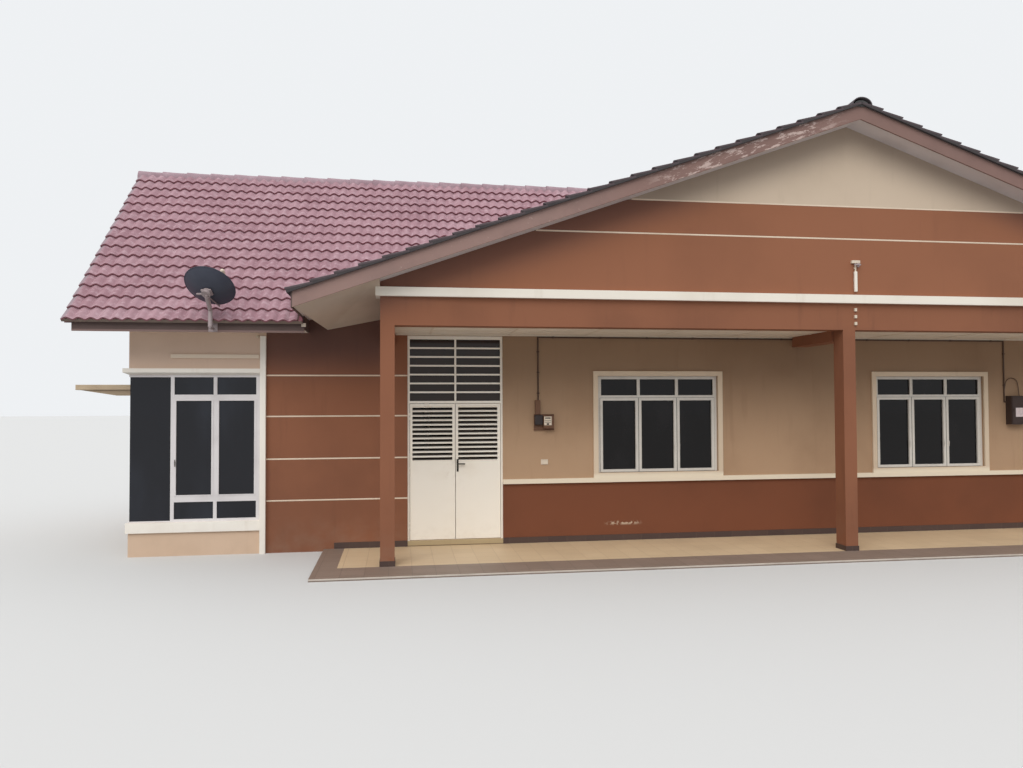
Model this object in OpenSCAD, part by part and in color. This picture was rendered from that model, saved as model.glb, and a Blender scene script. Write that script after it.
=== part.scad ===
/* Bungalow: a wide low gable runs front to back over a shallow porch on three columns, with a steeper
   wing roof on each side. Millimetres, +Z up, the front faces -Y. Sizes are above the porch floor;
   place() moves them so that z = 0 is the ground and the footprint is centred on the origin. */

/* [Porch and walls] */
// Distance from the middle column to an outer column
column_spacing = 6620; // [5000:10:8000]
// Column width along the front
column_w = 190; // [150:5:300]
// Column and beam depth
column_d = 250; // [150:5:400]
// From the column face back to the wall
porch_depth = 1400; // [1000:10:2400]
// Thickness of the rendered brick walls
wall_t = 150; // [100:5:250]
// Porch floor above the ground
floor_h = 35; // [20:5:300]
// Porch floor beyond the outer columns' centre line
floor_side = 950; // [400:10:1300]
// Width of the dark border at either end
border_side = 300; // [100:10:600]
// Dark tile border in front of the columns
border_w = 600; // [200:10:1000]
// Underside of the front beam
beam_low = 3190; // [2400:10:4000]
// Underside of the white band
band_low = 3575; // [2800:5:4500]
// Top of the white band
band_high = 3695; // [2900:5:4600]
// Underside of the porch ceiling
ceiling_z = 3200; // [2400:10:4000]

/* [Main gable roof] */
// Rise over run of the main roof
main_slope = 0.356; // [0.2:0.001:0.7]
// Soffit above the white band at the beam's end
soffit_rise = 75; // [10:5:600]
// Height of the barge boards, measured plumb
barge_h = 198; // [120:1:400]
// Battens under the main tiles, measured plumb
tile_h = 14; // [10:1:90]
// Tile body, and how far a row's nose stands over its top end, square to the slope
tile_t = 15; // [10:1:40]
tile_step = 34; // [10:1:60]
// Tile rows on a main slope and on a wing slope
main_rows = 26; // [12:1:40]
wing_rows = 16; // [8:1:30]
// Wing tiles beyond the eave, down the slope
tile_lip = 50; // [0:5:90]
// Main roof beyond the outer columns' centre line
main_over = 1180; // [600:10:1800]
// Barge board plane in front of the column face
main_front = 338; // [100:1:900]

/* [Side wings] */
// From the main roof's eave to the bay
bay_gap = 600; // [300:10:1500]
// Width of the bay wall
bay_w = 1905; // [1500:10:3000]
// Wing roof beyond the side wall
verge_over = 625; // [200:10:1200]
// Front edge of the wing tiles behind the column face
wing_eave_y = 720; // [200:10:1300]
// Top of the tiles at the eave
wing_eave_z = 3295; // [2600:5:4000]
// Wing ridge line behind the column face
wing_ridge_y = 3785; // [3000:5:6000]
// Wing tile planes meet at this height
wing_ridge_z = 6125; // [5000:5:7000]
// Thickness of the wing roof, measured plumb
wing_roof_h = 90; // [60:5:250]

/* [Windows and doors] */
// Centre of each porch window from the middle, and how far the pair sits to the left of it
window_x = 2360; // [1600:10:3500]
window_shift = 45; // [0:5:200]
// Width over the plaster surround
window_w = 2120; // [1200:10:2600]
// Lower and upper edge of the surround
window_low = 980; // [600:10:1500]
window_high = 2642; // [2000:2:3000]
// Inner and outer edge of the door frame from the middle
door_in = 4890; // [4000:10:5500]
door_out = 6340; // [5500:10:6500]
// Underside and top of the door leaves
leaf_low = 87; // [60:1:120]
leaf_high = 2142; // [1900:1:2400]
// Top of the frame over the barred light
door_high = 3175; // [2500:5:3300]
// Louvre blades in each leaf
louvres = 12; // [6:1:18]
// Bay glass, from its foot to its head
bay_low = 450; // [200:10:900]
bay_high = 2576; // [2000:2:2900]

/* [Hidden] */
$fn = 40;
rear_wall_y = 2 * wing_ridge_y - porch_depth;
rear_eave_y = 2 * wing_ridge_y - wing_eave_y;
tile_over = 40;
// Main tiles beyond the eave, down the slope
tile_push = 70;
// Play between the boards and the tiles that rest on them
fit = 0.05;
barge_t = 25;
y_front = -border_w;
y_rear = rear_eave_y + tile_over;
y_mid = (y_front + y_rear) / 2;
inner_floor = 70;
sill_h = 80;
col_x = column_spacing;
beam_end = col_x + column_w / 2;
main_half = col_x + main_over;
bay_x = main_half + bay_gap;
wing_half = bay_x + bay_w;
verge_x = wing_half + verge_over;
// The wing walls reach up behind the main eave from here outwards
notch_x = main_half + 160;
soffit_z = band_high + soffit_rise + main_slope * beam_end;
barge_low = soffit_z - 14;
soffit_t = 12;
slab_z = soffit_z + soffit_t;
barge_top = barge_low + barge_h;
tile_top = barge_top + tile_h;
cs = cos(atan(main_slope));
sn = sin(atan(main_slope));
wing_slope = (wing_ridge_z - wing_eave_z) / (wing_ridge_y - wing_eave_y);
e = 1;
ws = atan(wing_slope);
// The tile noses reach this high over the main slope, plumb
nose_top = tile_top + (tile_t + tile_step) / cs;
// Underside of the wing eaves, and of the beams that run back from the columns
eave_low = wing_eave_z - 150;
cross_low = beam_low - 150;
// Window glass in its frame, behind the wall face
glass_in = 62;
glass_t = 8;
// Door leaf, with its hinge line behind its back face
leaf_in = 40;
leaf_t = 40;
jamb = 30;
jamb_gap = 6;
seam_gap = 8;
seam_x = (door_in + door_out) / 2;
pin_back = 16;
pin_side = 10;
pin_r = 6;
knuckle_r = 10;
hinge_z = [300, 1130, 1950];

module place() { translate([0, -y_mid, floor_h]) children(); }
// An outline in X and Z, drawn from y0 to y1
module xz(y0, y1) { translate([0, y1, 0]) rotate([90, 0, 0]) linear_extrude(y1 - y0) children(); }
// An outline in Y and Z, drawn from x0 to x1
module yz(x0, x1) { translate([x0, 0, 0]) rotate([90, 0, 90]) linear_extrude(x1 - x0) children(); }
module block(x0, x1, y0, y1, z0, z1) { translate([x0, y0, z0]) cube([x1 - x0, y1 - y0, z1 - z0]); }
module both() { children(); mirror([1, 0, 0]) children(); }
module right() { mirror([1, 0, 0]) children(); }

// Main roof: a line z = z0 - slope * x, cut plumb at the eave; push moves the cut down the slope
function eave_pt(z0, push = 0) = [main_half + push * cs, z0 - main_slope * main_half - push * sn];
function under(x) = soffit_z - main_slope * x;
module slope_band(z_low, z_high, push = 0) {
    polygon([[0, z_low], [0, z_high], eave_pt(z_high, push), eave_pt(z_low, push)]);
}
// Rows of tiles from u1 to u2 up the slope, as points along it and square to it: each nose stands
// over the top end of the row below
function rows(n, u1, u2) = [for (k = [0:n - 1], t = [0, 1]) [u1 + (k + t) * (u2 - u1) / n, tile_t + (1 - t) * tile_step]];
function main_pt(q) = eave_pt(tile_top, tile_push) + q[0] * [-cs, sn] + q[1] * [sn, cs];
function wing_pt(q) = [wing_eave_y, wing_eave_z] + q[0] * [cos(ws), sin(ws)] + q[1] * [-sin(ws), cos(ws)];
main_len = eave_pt(tile_top, tile_push)[0] / cs;
wing_len = (wing_ridge_y - wing_eave_y) / cos(ws);
// Everything under the main tiles, which the wing roofs stop at
module main_shadow() {
    half = [[0, nose_top], main_pt([0, tile_t + tile_step]), eave_pt(barge_top, tile_push), eave_pt(barge_top, 20),
        eave_pt(barge_low, 20), eave_pt(barge_low), [main_half, -100], [0, -100]];
    both() xz(-600, y_rear + 100) polygon(half);
}
function wing_z(y) = wing_ridge_z - wing_slope * abs(y - wing_ridge_y);

// Floors
module ground_floor() color([0.78, 0.70, 0.56]) place() {
    block(-wing_half + wall_t, wing_half - wall_t, porch_depth + wall_t, rear_wall_y - wall_t, -floor_h, inner_floor);
    for (s = [-1, 1]) translate([s * (door_in + door_out) / 2, 0, 0])
        block(-(door_out - door_in) / 2, (door_out - door_in) / 2, porch_depth, porch_depth + wall_t + e, -floor_h, sill_h);
}
module porch_floor() color([0.76, 0.68, 0.54]) place()
    block(-col_x - floor_side + border_side, col_x + floor_side - border_side, 0, porch_depth, -floor_h, 0);
module porch_border() color([0.42, 0.37, 0.34]) place() {
    block(-col_x - floor_side, col_x + floor_side, -border_w, 0, -floor_h, 0);
    for (s = [-1, 1]) translate([s * (col_x + floor_side - border_side / 2), 0, 0]) block(-border_side / 2, border_side / 2, -e, porch_depth, -floor_h, 0);
}

// Walls on the porch line
stripe_z = [726, 1337, 1965, 2570];
module groove(x0, x1, y, z) block(x0, x1, y - e, y + 8, z - 11, z + 11);
module striped_wall() {
    difference() {
        xz(porch_depth, porch_depth + wall_t) polygon([[-bay_x, -floor_h], [-bay_x, wing_z(porch_depth) - wing_roof_h - 5],
            [-notch_x, wing_z(porch_depth) - wing_roof_h - 5], [-notch_x, rear_top],
            [-main_half, rear_top], [-main_half, under(main_half)], [-door_out, under(door_out)], [-door_out, -floor_h]]);
        for (z = stripe_z) groove(-bay_x - e, -door_out + e, porch_depth, z);
    }
}
module striped_wall_left() color([0.50, 0.28, 0.18]) place() striped_wall();
module striped_wall_right() color([0.50, 0.28, 0.18]) place() right() striped_wall();
module door_heads() color([0.74, 0.66, 0.54]) place() both()
    block(-door_out, -door_in, porch_depth, porch_depth + wall_t, door_high, under(door_out));
open_in = 75;
module window_hole(x, w, top = window_high) block(x - w / 2 + open_in, x + w / 2 - open_in, -e, wall_t + e, window_low + open_in, top - open_in);
module porch_wall() color([0.74, 0.66, 0.54]) place() translate([0, porch_depth, 0]) difference() {
    block(-door_in, door_in, 0, wall_t, -floor_h, ceiling_z + 60);
    for (s = [-1, 1]) window_hole(s * window_x - window_shift, window_w);
}
post_w = 80;
module bay_wall() difference() {
    union() {
        block(-wing_half + wall_t, -bay_x, porch_depth, porch_depth + wall_t, -floor_h, wing_z(porch_depth) - wing_roof_h - 5);
        // A plain plaster strip over the head
        block(-bay_mullions[0] - 22, -bay_x - post_w - 22, porch_depth - 30, porch_depth + e, bay_high + 241, bay_high + 298);
    }
    block(-wing_half, -bay_x - post_w, porch_depth - e, porch_depth + wall_t + e, bay_low, bay_high);
}
module bay_wall_left() color([0.80, 0.73, 0.62]) place() bay_wall();
module bay_wall_right() color([0.80, 0.73, 0.62]) place() right() bay_wall();
side_window_y = 2780;
side_window_w = 1320;
side_window_top = 2290;
module side_wall() difference() {
    yz(-wing_half, -wing_half + wall_t) polygon([[porch_depth, -floor_h], [rear_wall_y, -floor_h],
        [rear_wall_y, wing_z(rear_wall_y) - wing_roof_h - 2], [wing_ridge_y, wing_ridge_z - wing_roof_h - 2],
        [porch_depth, wing_z(porch_depth) - wing_roof_h - 2]]);
    block(-wing_half - e, -wing_half + wall_t + e, porch_depth - e, porch_depth + 550, bay_low, bay_high);
    translate([-wing_half, side_window_y, 0]) rotate([0, 0, -90]) window_hole(0, side_window_w, side_window_top);
}
module side_wall_left() color([0.80, 0.73, 0.62]) place() side_wall();
module side_wall_right() color([0.80, 0.73, 0.62]) place() right() side_wall();
rear_x = [-window_x - 3840, -window_x, window_x, window_x + 3840];
rear_top = under(main_half) - 40;
module rear_wall() color([0.80, 0.73, 0.62]) place() difference() {
    block(-wing_half + wall_t, wing_half - wall_t, rear_wall_y - wall_t, rear_wall_y, -floor_h, rear_top);
    for (x = rear_x) translate([0, rear_wall_y - wall_t, 0]) window_hole(x, window_w);
}
// The wall over it, in three pieces: the gable and the two strips under the wing roofs
module rear_gable() color([0.80, 0.73, 0.62]) place() {
    xz(rear_wall_y - wall_t, rear_wall_y) polygon([[-main_half, rear_top], [-main_half, under(main_half)],
        [0, soffit_z], [main_half, under(main_half)], [main_half, rear_top]]);
    both() block(-wing_half + wall_t, -notch_x, rear_wall_y - wall_t, rear_wall_y, rear_top, wing_z(rear_wall_y) - wing_roof_h - 5);
}

// Front gable over the beam: two paints that meet at a groove
gable_split_rise = 1285;
gable_groove_rise = 820;
gable_split = band_high + gable_split_rise;
gable_groove = band_high + gable_groove_rise;
module gable_wall_lower() color([0.50, 0.28, 0.18]) place() difference() {
    x1 = (soffit_z - gable_split) / main_slope;
    xz(0, wall_t) polygon([[-beam_end, band_high], [-beam_end, under(beam_end)], [-x1, gable_split],
        [x1, gable_split], [beam_end, under(beam_end)], [beam_end, band_high]]);
    groove(-beam_end, beam_end, 0, gable_groove);
}
module gable_wall_upper() color([0.74, 0.66, 0.54]) place() difference() {
    x1 = (soffit_z - gable_split) / main_slope;
    xz(0, wall_t) polygon([[-x1, gable_split], [0, soffit_z], [x1, gable_split]]);
    block(-x1, x1, -e, 8, gable_split - e, gable_split + 22);
}
module front_beam() color([0.50, 0.28, 0.18]) place() block(-beam_end, beam_end, 0, column_d, beam_low, band_low);
module white_band() color([0.90, 0.88, 0.84]) place() block(-beam_end - 60, beam_end + 60, -60, column_d, band_low, band_high);
module cross_beams() color([0.50, 0.28, 0.18]) place() {
    both() xz(column_d, porch_depth) polygon([[-beam_end, cross_low], [-beam_end, under(beam_end)],
        [-col_x + column_w / 2, under(col_x - column_w / 2)], [-col_x + column_w / 2, cross_low]]);
    block(-130, 130, column_d, porch_depth, cross_low, ceiling_z + 60);
}
module columns() color([0.50, 0.28, 0.18]) place() for (i = [-1, 0, 1])
    translate([i * col_x, 0, 0]) block(-column_w / 2, column_w / 2, 0, column_d, 0, beam_low);
module ceilings() color([0.72, 0.70, 0.66]) place() both() {
    block(-col_x + column_w / 2, -130, column_d, porch_depth, ceiling_z, ceiling_z + 30);
    // Flat soffit of the wing eaves, front and rear
    for (y = [[wing_eave_y + 55, porch_depth], [rear_wall_y, rear_eave_y - 55]])
        block(-verge_x + 100, -main_half, y[0], y[1], eave_low + 55, eave_low + 63);
}

// Roofs
module tile_outline() polygon(concat([eave_pt(barge_top + fit, tile_push)], [for (q = rows(main_rows, 0, main_len)) main_pt(q)],
    [[0, tile_top + tile_t / cs], [0, barge_top + fit]]));
module main_roof() {
    xz(-main_front, rear_eave_y - barge_t) slope_band(slab_z, barge_top + e);
    xz(-main_front - barge_t - tile_over, y_rear) tile_outline();
}
module main_roof_left() color([0.42, 0.27, 0.28]) place() right() main_roof();
module main_roof_right() color([0.42, 0.27, 0.28]) place() main_roof();
module main_soffit() color([0.50, 0.45, 0.40]) place() xz(-main_front, rear_eave_y - barge_t)
    both() slope_band(soffit_z, slab_z);
module barge_boards() color([0.50, 0.36, 0.31]) place() {
    for (y = [-main_front - barge_t, rear_eave_y - barge_t]) xz(y, y + barge_t) both() slope_band(barge_low, barge_top);
}
module wing_outline() {
    z = wing_eave_z - 15;
    front = concat([[wing_eave_y + 55, wing_z(wing_eave_y + 55) - wing_roof_h], [wing_eave_y + 55, z], [wing_eave_y, z],
        [wing_eave_y, wing_eave_z], wing_pt([-tile_lip, 0])],
        [for (q = rows(wing_rows, -tile_lip, wing_len)) wing_pt(q)]);
    n = len(front);
    polygon(concat(front, [[wing_ridge_y, wing_ridge_z + tile_t / cos(ws)]],
        [for (i = [1:n]) [2 * wing_ridge_y - front[n - i][0], front[n - i][1]]], [[wing_ridge_y, wing_ridge_z - wing_roof_h]]));
}
module wing_roof() difference() { yz(-verge_x, 0) wing_outline(); main_shadow(); }
module wing_roof_left() color([0.50, 0.30, 0.32]) place() wing_roof();
module wing_roof_right() color([0.50, 0.30, 0.32]) place() right() wing_roof();
// A ridge cap: a low arch that rests just over the tile rows of two slopes which meet at height z
cap_half = 138;
cap_rise = 70;
module cap_outline(z, slope, more = 0) {
    half = cap_half + more;
    z0 = z - slope * half;
    polygon(concat([for (i = [0:12]) [half * cos(i * 15), z0 + (z - z0 + cap_rise + more) * sin(i * 15)]], [[0, z - tile_t / 2]]));
}
module ridge_caps() color([0.44, 0.28, 0.30]) place() {
    main_z = tile_top + tile_t / cs;
    xz(-main_front - barge_t - tile_over, y_rear) difference() {
        cap_outline(main_z, main_slope);
        translate([0, fit]) both() tile_outline();
    }
    both() difference() {
        yz(-verge_x, 0) difference() {
            translate([wing_ridge_y, 0]) cap_outline(wing_ridge_z + tile_t / cos(ws), wing_slope);
            translate([0, fit]) wing_outline();
        }
        main_shadow();
        xz(-600, y_rear + 100) cap_outline(main_z, main_slope, 1);
    }
}
module fascias() color([0.22, 0.16, 0.14]) place() both() {
    for (y = [wing_eave_y + 30, rear_eave_y - 55]) block(-verge_x + 100, -main_half + 15, y, y + 25, eave_low, wing_eave_z - 15);
    // Plates that close the inner ends of the wing eaves
    for (y = [[wing_eave_y + 54, porch_depth], [rear_wall_y, rear_eave_y - 54]])
        block(-main_half, -main_half + 15, y[0], y[1], eave_low + 54, under(main_half));
    for (y = [[-main_front - barge_t, wing_eave_y + 30], [rear_eave_y - 30, rear_eave_y]]) right() xz(y[0], y[1])
        polygon([eave_pt(barge_low), eave_pt(barge_top), eave_pt(barge_top, 20), eave_pt(barge_low, 20)]);
}

// Bay window at each outer corner, glazed round the corner with no post
module bay_band(z0, z1, out) {
    block(-wing_half - out, -bay_x - post_w, porch_depth - out, porch_depth, z0, z1);
    block(-wing_half - out, -wing_half, porch_depth - out, porch_depth + 580, z0, z1);
}
// The head moulding: an upright face over a splay, mitred round the corner
head_out = 68;
function head_face(wall) = [[wall, bay_high + 1], [wall - head_out, bay_high + 31], [wall - head_out, bay_high + 91], [wall, bay_high + 91]];
module bay_head() {
    yz(-wing_half, -bay_x - post_w) polygon(head_face(porch_depth));
    xz(porch_depth, porch_depth + 580) polygon(head_face(-wing_half));
    intersection() {
        yz(-wing_half - head_out, -wing_half) polygon(head_face(porch_depth));
        xz(porch_depth - head_out, porch_depth) polygon(head_face(-wing_half));
    }
}
module bay_trim() color([0.90, 0.88, 0.84]) place() both() {
    bay_head();
    bay_band(bay_low - 145, bay_low, 30);
    block(-bay_x - post_w, -bay_x, porch_depth - 60, porch_depth, -floor_h, eave_low);
}
// Centre and half width of each upright, and the height of each cross bar
bay_mullions = [wing_half - 595, (wing_half + bay_x - 471) / 2, bay_x + 111];
bay_half = [25, 25, 31];
bay_transoms = [[bay_low + 285, bay_low + 370], [bay_high - 361, bay_high - 287]];
bay_in = 20;
module bay_pane() {
    block(-wing_half + 12, -bay_x - post_w - 2, porch_depth + bay_in, porch_depth + bay_in + glass_t, bay_low, bay_high);
    block(-wing_half + 12, -wing_half + 20, porch_depth + bay_in + glass_t - e, porch_depth + 548, bay_low, bay_high);
}
module bay_bars() {
    y0 = porch_depth + 5;
    y1 = porch_depth + 65;
    for (i = [0:2]) block(-bay_mullions[i] - bay_half[i], -bay_mullions[i] + bay_half[i], y0, y1, bay_low, bay_high);
    for (z = concat(bay_transoms, [[bay_low, bay_low + 40], [bay_high - 33, bay_high]])) block(-bay_mullions[0], -bay_mullions[2], y0, y1, z[0], z[1]);
    for (z = [[bay_low, bay_low + 20], [bay_high - 33, bay_high]]) {
        block(-wing_half, -bay_mullions[0], y0 + 5, y1 - 10, z[0], z[1]);
        block(-wing_half, -wing_half + 45, y0 + 5, porch_depth + 550, z[0], z[1]);
    }
    block(-wing_half + 2, -wing_half + 55, porch_depth + 510, porch_depth + 550, bay_low, bay_high);
}
module bay_frames() color([0.84, 0.83, 0.80]) place() both() difference() { bay_bars(); bay_pane(); }
module bay_glass() color([0.10, 0.11, 0.14, 0.6]) place() both() bay_pane();

// Windows: three lights over three casements. Drawn round x = 0 with the wall face at y = 0
module window_bars(w, n, top = window_high) {
    x1 = w / 2 - open_in;
    z0 = window_low + open_in;
    z1 = top - open_in;
    side = 90;
    mull = 100;
    pane = (2 * x1 - 2 * side - (n - 1) * mull) / n;
    difference() {
        block(-x1, x1, 35, 95, z0, z1);
        for (i = [0:n - 1]) translate([-x1 + side + i * (pane + mull), 0, 0]) {
            block(0, pane, 0, 100, z0 + 42, z1 - 375);
            block(0, pane, 0, 100, z1 - 304, z1 - 49);
        }
    }
}
module window_pane(w, top = window_high) block(-w / 2 + open_in + 20, w / 2 - open_in - 20, glass_in, glass_in + glass_t, window_low + open_in + 20, top - open_in - 20);
module surround(w, top = window_high) difference() {
    block(-w / 2, w / 2, -30, 0, window_low, top);
    block(-w / 2 + open_in, w / 2 - open_in, -31, e, window_low + open_in, top - open_in);
}
// Every place that takes such a window
module at_windows() {
    for (s = [-1, 1]) translate([s * window_x - window_shift, porch_depth, 0]) children();
    for (x = rear_x) translate([x, rear_wall_y, 0]) rotate([0, 0, 180]) children();
}
module at_side_windows() both() translate([-wing_half, side_window_y, 0]) rotate([0, 0, -90]) children();
module window_frames() color([0.82, 0.81, 0.78]) place() {
    at_windows() difference() { window_bars(window_w, 3); window_pane(window_w); }
    at_side_windows() difference() { window_bars(side_window_w, 2, side_window_top); window_pane(side_window_w, side_window_top); }
}
light_low = leaf_high + 41;
light_high = door_high - 50;
module transom_pane() block(-door_out + jamb, -door_in - jamb, porch_depth + 90, porch_depth + 96, light_low, light_high);
module window_glass() color([0.10, 0.11, 0.14, 0.6]) place() {
    at_windows() window_pane(window_w);
    at_side_windows() window_pane(side_window_w, side_window_top);
    both() transom_pane();
}
rail_low = 910;
rail_out = 45;
module plaster_trims() color([0.90, 0.88, 0.84]) place() {
    at_windows() surround(window_w);
    at_side_windows() surround(side_window_w, side_window_top);
    block(-door_in, door_in, porch_depth - rail_out, porch_depth, rail_low, window_low);
}
module skirting() color([0.20, 0.16, 0.15]) place() {
    block(-door_in, door_in, porch_depth - 10, porch_depth, 0, 90);
    both() block(-beam_end - 705, -door_out, porch_depth - 10, porch_depth, 0, 90);
    for (i = [-1, 0, 1]) translate([i * col_x, 0, 0]) difference() {
        block(-column_w / 2 - 8, column_w / 2 + 8, -8, column_d + 8, 0, 70);
        block(-column_w / 2, column_w / 2, 0, column_d, -e, 71);
    }
}

// Steel double door, left side: hinges behind the leaves, louvres above, plain sheet below
leaf_x = [-door_out + jamb + jamb_gap, -seam_x - seam_gap / 2, -seam_x + seam_gap / 2, -door_in - jamb - jamb_gap];
pin_x = [leaf_x[0] + pin_side, leaf_x[3] - pin_side];
pin_y = porch_depth + leaf_in + leaf_t + pin_back;
module door_frame() {
    y0 = porch_depth + 20;
    y1 = porch_depth + 120;
    block(-door_out, -door_out + jamb, y0, y1, sill_h, door_high);
    block(-door_in - jamb, -door_in, y0, y1, sill_h, door_high);
    block(-door_out, -door_in, y0, y1, light_high, door_high);
    block(-door_out, -door_in, y0, y1, leaf_high + 6, light_low);
    // Barred light: a centre bar crossed by six flat bars
    block(-seam_x - 14, -seam_x + 14, y0 + 15, y0 + 40, light_low - e, light_high + e);
    for (i = [1:6], z = light_low + i * (light_high - light_low) / 7) block(-door_out + 20, -door_in - 20, y0 + 18, y0 + 37, z - 13, z + 13);
    for (i = [0, 1], z = hinge_z) translate([pin_x[i], pin_y, z]) {
        translate([0, 0, -50]) cylinder(r = pin_r, h = 100);
        for (h = [-50, 17]) translate([0, 0, h]) {
            cylinder(r = knuckle_r, h = 33);
            translate([i == 0 ? -pin_side - jamb_gap - 5 : 0, -3, 0]) cube([pin_side + jamb_gap + 5, 6, 33]);
        }
    }
}
module leaf(x0, x1, px) {
    y0 = porch_depth + leaf_in;
    y1 = y0 + leaf_t;
    lz = [1281, 2107];
    step = (lz[1] - lz[0]) / louvres;
    difference() {
        block(x0, x1, y0, y1, leaf_low, leaf_high);
        block(x0 + 38, x1 - 42, y0 - e, y1 + e, lz[0], lz[1]);
        // The lower panel is sheet let into the tube frame, open at the back
        block(x0 + 38, x1 - 42, y0 + 6, y1 + e, leaf_low + 60, lz[0] - 60);
    }
    intersection() {
        block(x0 + 30, x1 - 34, y0, y1, lz[0], lz[1]);
        for (i = [0:louvres]) translate([x0 + 30, y0 + 2, lz[0] + i * step - 22]) rotate([48, 0, 0]) cube([x1 - x0 - 64, 58, 3]);
    }
    for (z = hinge_z) translate([px, pin_y, z - 16]) difference() {
        union() {
            cylinder(r = knuckle_r, h = 32);
            translate([-4, -pin_back - e, 0]) cube([8, pin_back, 32]);
        }
        translate([0, 0, -e]) cylinder(r = pin_r + 0.1, h = 34);
    }
}
module door_frame_left() color([0.88, 0.86, 0.80]) place() door_frame();
module door_frame_right() color([0.88, 0.86, 0.80]) place() right() door_frame();
module door_leaf_left() color([0.88, 0.86, 0.80]) place() leaf(leaf_x[0], leaf_x[1], pin_x[0]);
module door_leaf_right() color([0.88, 0.86, 0.80]) place() leaf(leaf_x[2], leaf_x[3], pin_x[1]);
module fixed_leaves() color([0.88, 0.86, 0.80]) place() right() {
    leaf(leaf_x[0], leaf_x[1], pin_x[0]);
    leaf(leaf_x[2], leaf_x[3], pin_x[1]);
}
lever_x = seam_x - 32;
lever_z = 1226;
module lever_set() {
    y0 = porch_depth + leaf_in;
    block(-lever_x - 14, -lever_x + 14, y0 - 8, y0, lever_z - 118, lever_z + 70);
    translate([-lever_x, y0 - 7, lever_z]) rotate([90, 0, 0]) cylinder(r = 9, h = 30);
    // The lever is one flat bar with round ends
    translate([-lever_x, y0 - 37, lever_z]) rotate([90, 0, 0]) linear_extrude(12) {
        circle(r = 11);
        translate([0, -9]) square([104, 18]);
        translate([104, 0]) circle(r = 9);
    }
    translate([-lever_x, y0 - 7, lever_z - 76]) rotate([90, 0, 0]) cylinder(r = 9, h = 7);
}
module door_handle() color([0.13, 0.12, 0.12]) place() lever_set();

// Concrete canopy over each side window: a slab on two tapered brackets
canopy_out = 950;
canopy_half = 780;
canopy_t = 78;
canopy_low = side_window_top + 80;
module side_canopies() color([0.70, 0.62, 0.50]) place() both() {
    block(-wing_half - canopy_out, -wing_half, side_window_y - canopy_half, side_window_y + canopy_half, canopy_low, canopy_low + canopy_t);
    for (s = [-1, 1]) translate([0, side_window_y + s * (canopy_half - 65), 0])
        xz(-45, 45) polygon([[-wing_half, canopy_low + e], [-wing_half - canopy_out + 45, canopy_low + e], [-wing_half - 375, canopy_low - 85], [-wing_half, canopy_low - 85]]);
}

// Satellite dish: a shallow bowl on a bent mast that is bolted to the wing's fascia
dish_in = 1300;
dish_rise = 365;
dish_at = [-wing_half + dish_in, wing_eave_y - 300, wing_eave_z + dish_rise];
module dish_frame() translate(dish_at) rotate([0, 0, -14]) rotate([-40, 0, 0]) children();
module dish() color([0.20, 0.22, 0.26]) place() dish_frame() rotate_extrude($fn = 64) difference() {
    translate([0, 560]) intersection() { circle(r = 560, $fn = 160); translate([0, -560]) square([335, 120]); }
    translate([0, 563.5]) circle(r = 560, $fn = 160);
    translate([-10, -10]) square([10, 700]);
}
module rod(a, b, r) {
    d = b - a;
    translate(a) rotate([0, acos(d[2] / norm(d)), atan2(d[1], d[0])]) cylinder(r = r, h = norm(d));
}
module dish_mast() color([0.52, 0.52, 0.50]) place() {
    foot = [dish_at[0], wing_eave_y - 135, eave_low + 25];
    bend = dish_at[2] - 215;
    block(foot[0] - 60, foot[0] + 60, wing_eave_y + 22, wing_eave_y + 30, eave_low + 2, wing_eave_z - 18);
    rod([foot[0], wing_eave_y + 25, foot[2] + 20], foot + [0, 0, 20], 16);
    rod(foot + [0, 0, 10], [foot[0], foot[1], bend], 19);
    rod([foot[0], foot[1], bend - 10], dish_at + [0, -50, -60], 17);
    dish_frame() {
        translate([0, 0, -70]) cylinder(r = 60, h = 69);
        rod([0, 40, -45], [0, 368, 98], 9);
        rod([0, 365, 94], [60, 150, 430], 9);
    }
}

// Meters, conduit and small fittings on the porch wall
meter_x = door_in - 640;
meter_z = 1851;
cabinet_x = 3879;
cabinet_z = 1996;
module on_wall(x, z, w, h, t) block(x - w / 2, x + w / 2, porch_depth - t, porch_depth, z - h / 2, z + h / 2);
module meter_boxes() color([0.30, 0.19, 0.14]) place() {
    on_wall(-meter_x, meter_z, 315, 248, 25);
    on_wall(-meter_x + 60, meter_z, 160, 185, 110);
    on_wall(-meter_x - 102, meter_z + 232, 78, 216, 55);
    on_wall(cabinet_x, cabinet_z, 310, 483, 130);
}
module conduit() color([0.24, 0.17, 0.13]) place() {
    y = porch_depth - 12;
    x0 = -meter_x - 90;
    x1 = cabinet_x - 189;
    z1 = ceiling_z - 35;
    rod([x0, y, meter_z + 340], [x0, y, z1 + 7], 11);
    rod([x0, y, z1], [-130, y, z1], 11);
    rod([130, y, z1], [x1, y, z1], 11);
    rod([x1, y, z1 + 7], [x1, y, cabinet_z + 134], 11);
    rod([x1, y, cabinet_z + 140], [cabinet_x - 155, y, cabinet_z + 140], 11);
    for (i = [0:10]) {
        x = x0 + 240 + i * (x1 - x0 - 480) / 10;
        if (abs(x) > 160) block(x - 14, x + 14, y - 13, porch_depth, z1 - 15, z1 + 15);
    }
}
bracket_x = 100;
bracket_z = band_high + 485;
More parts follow.
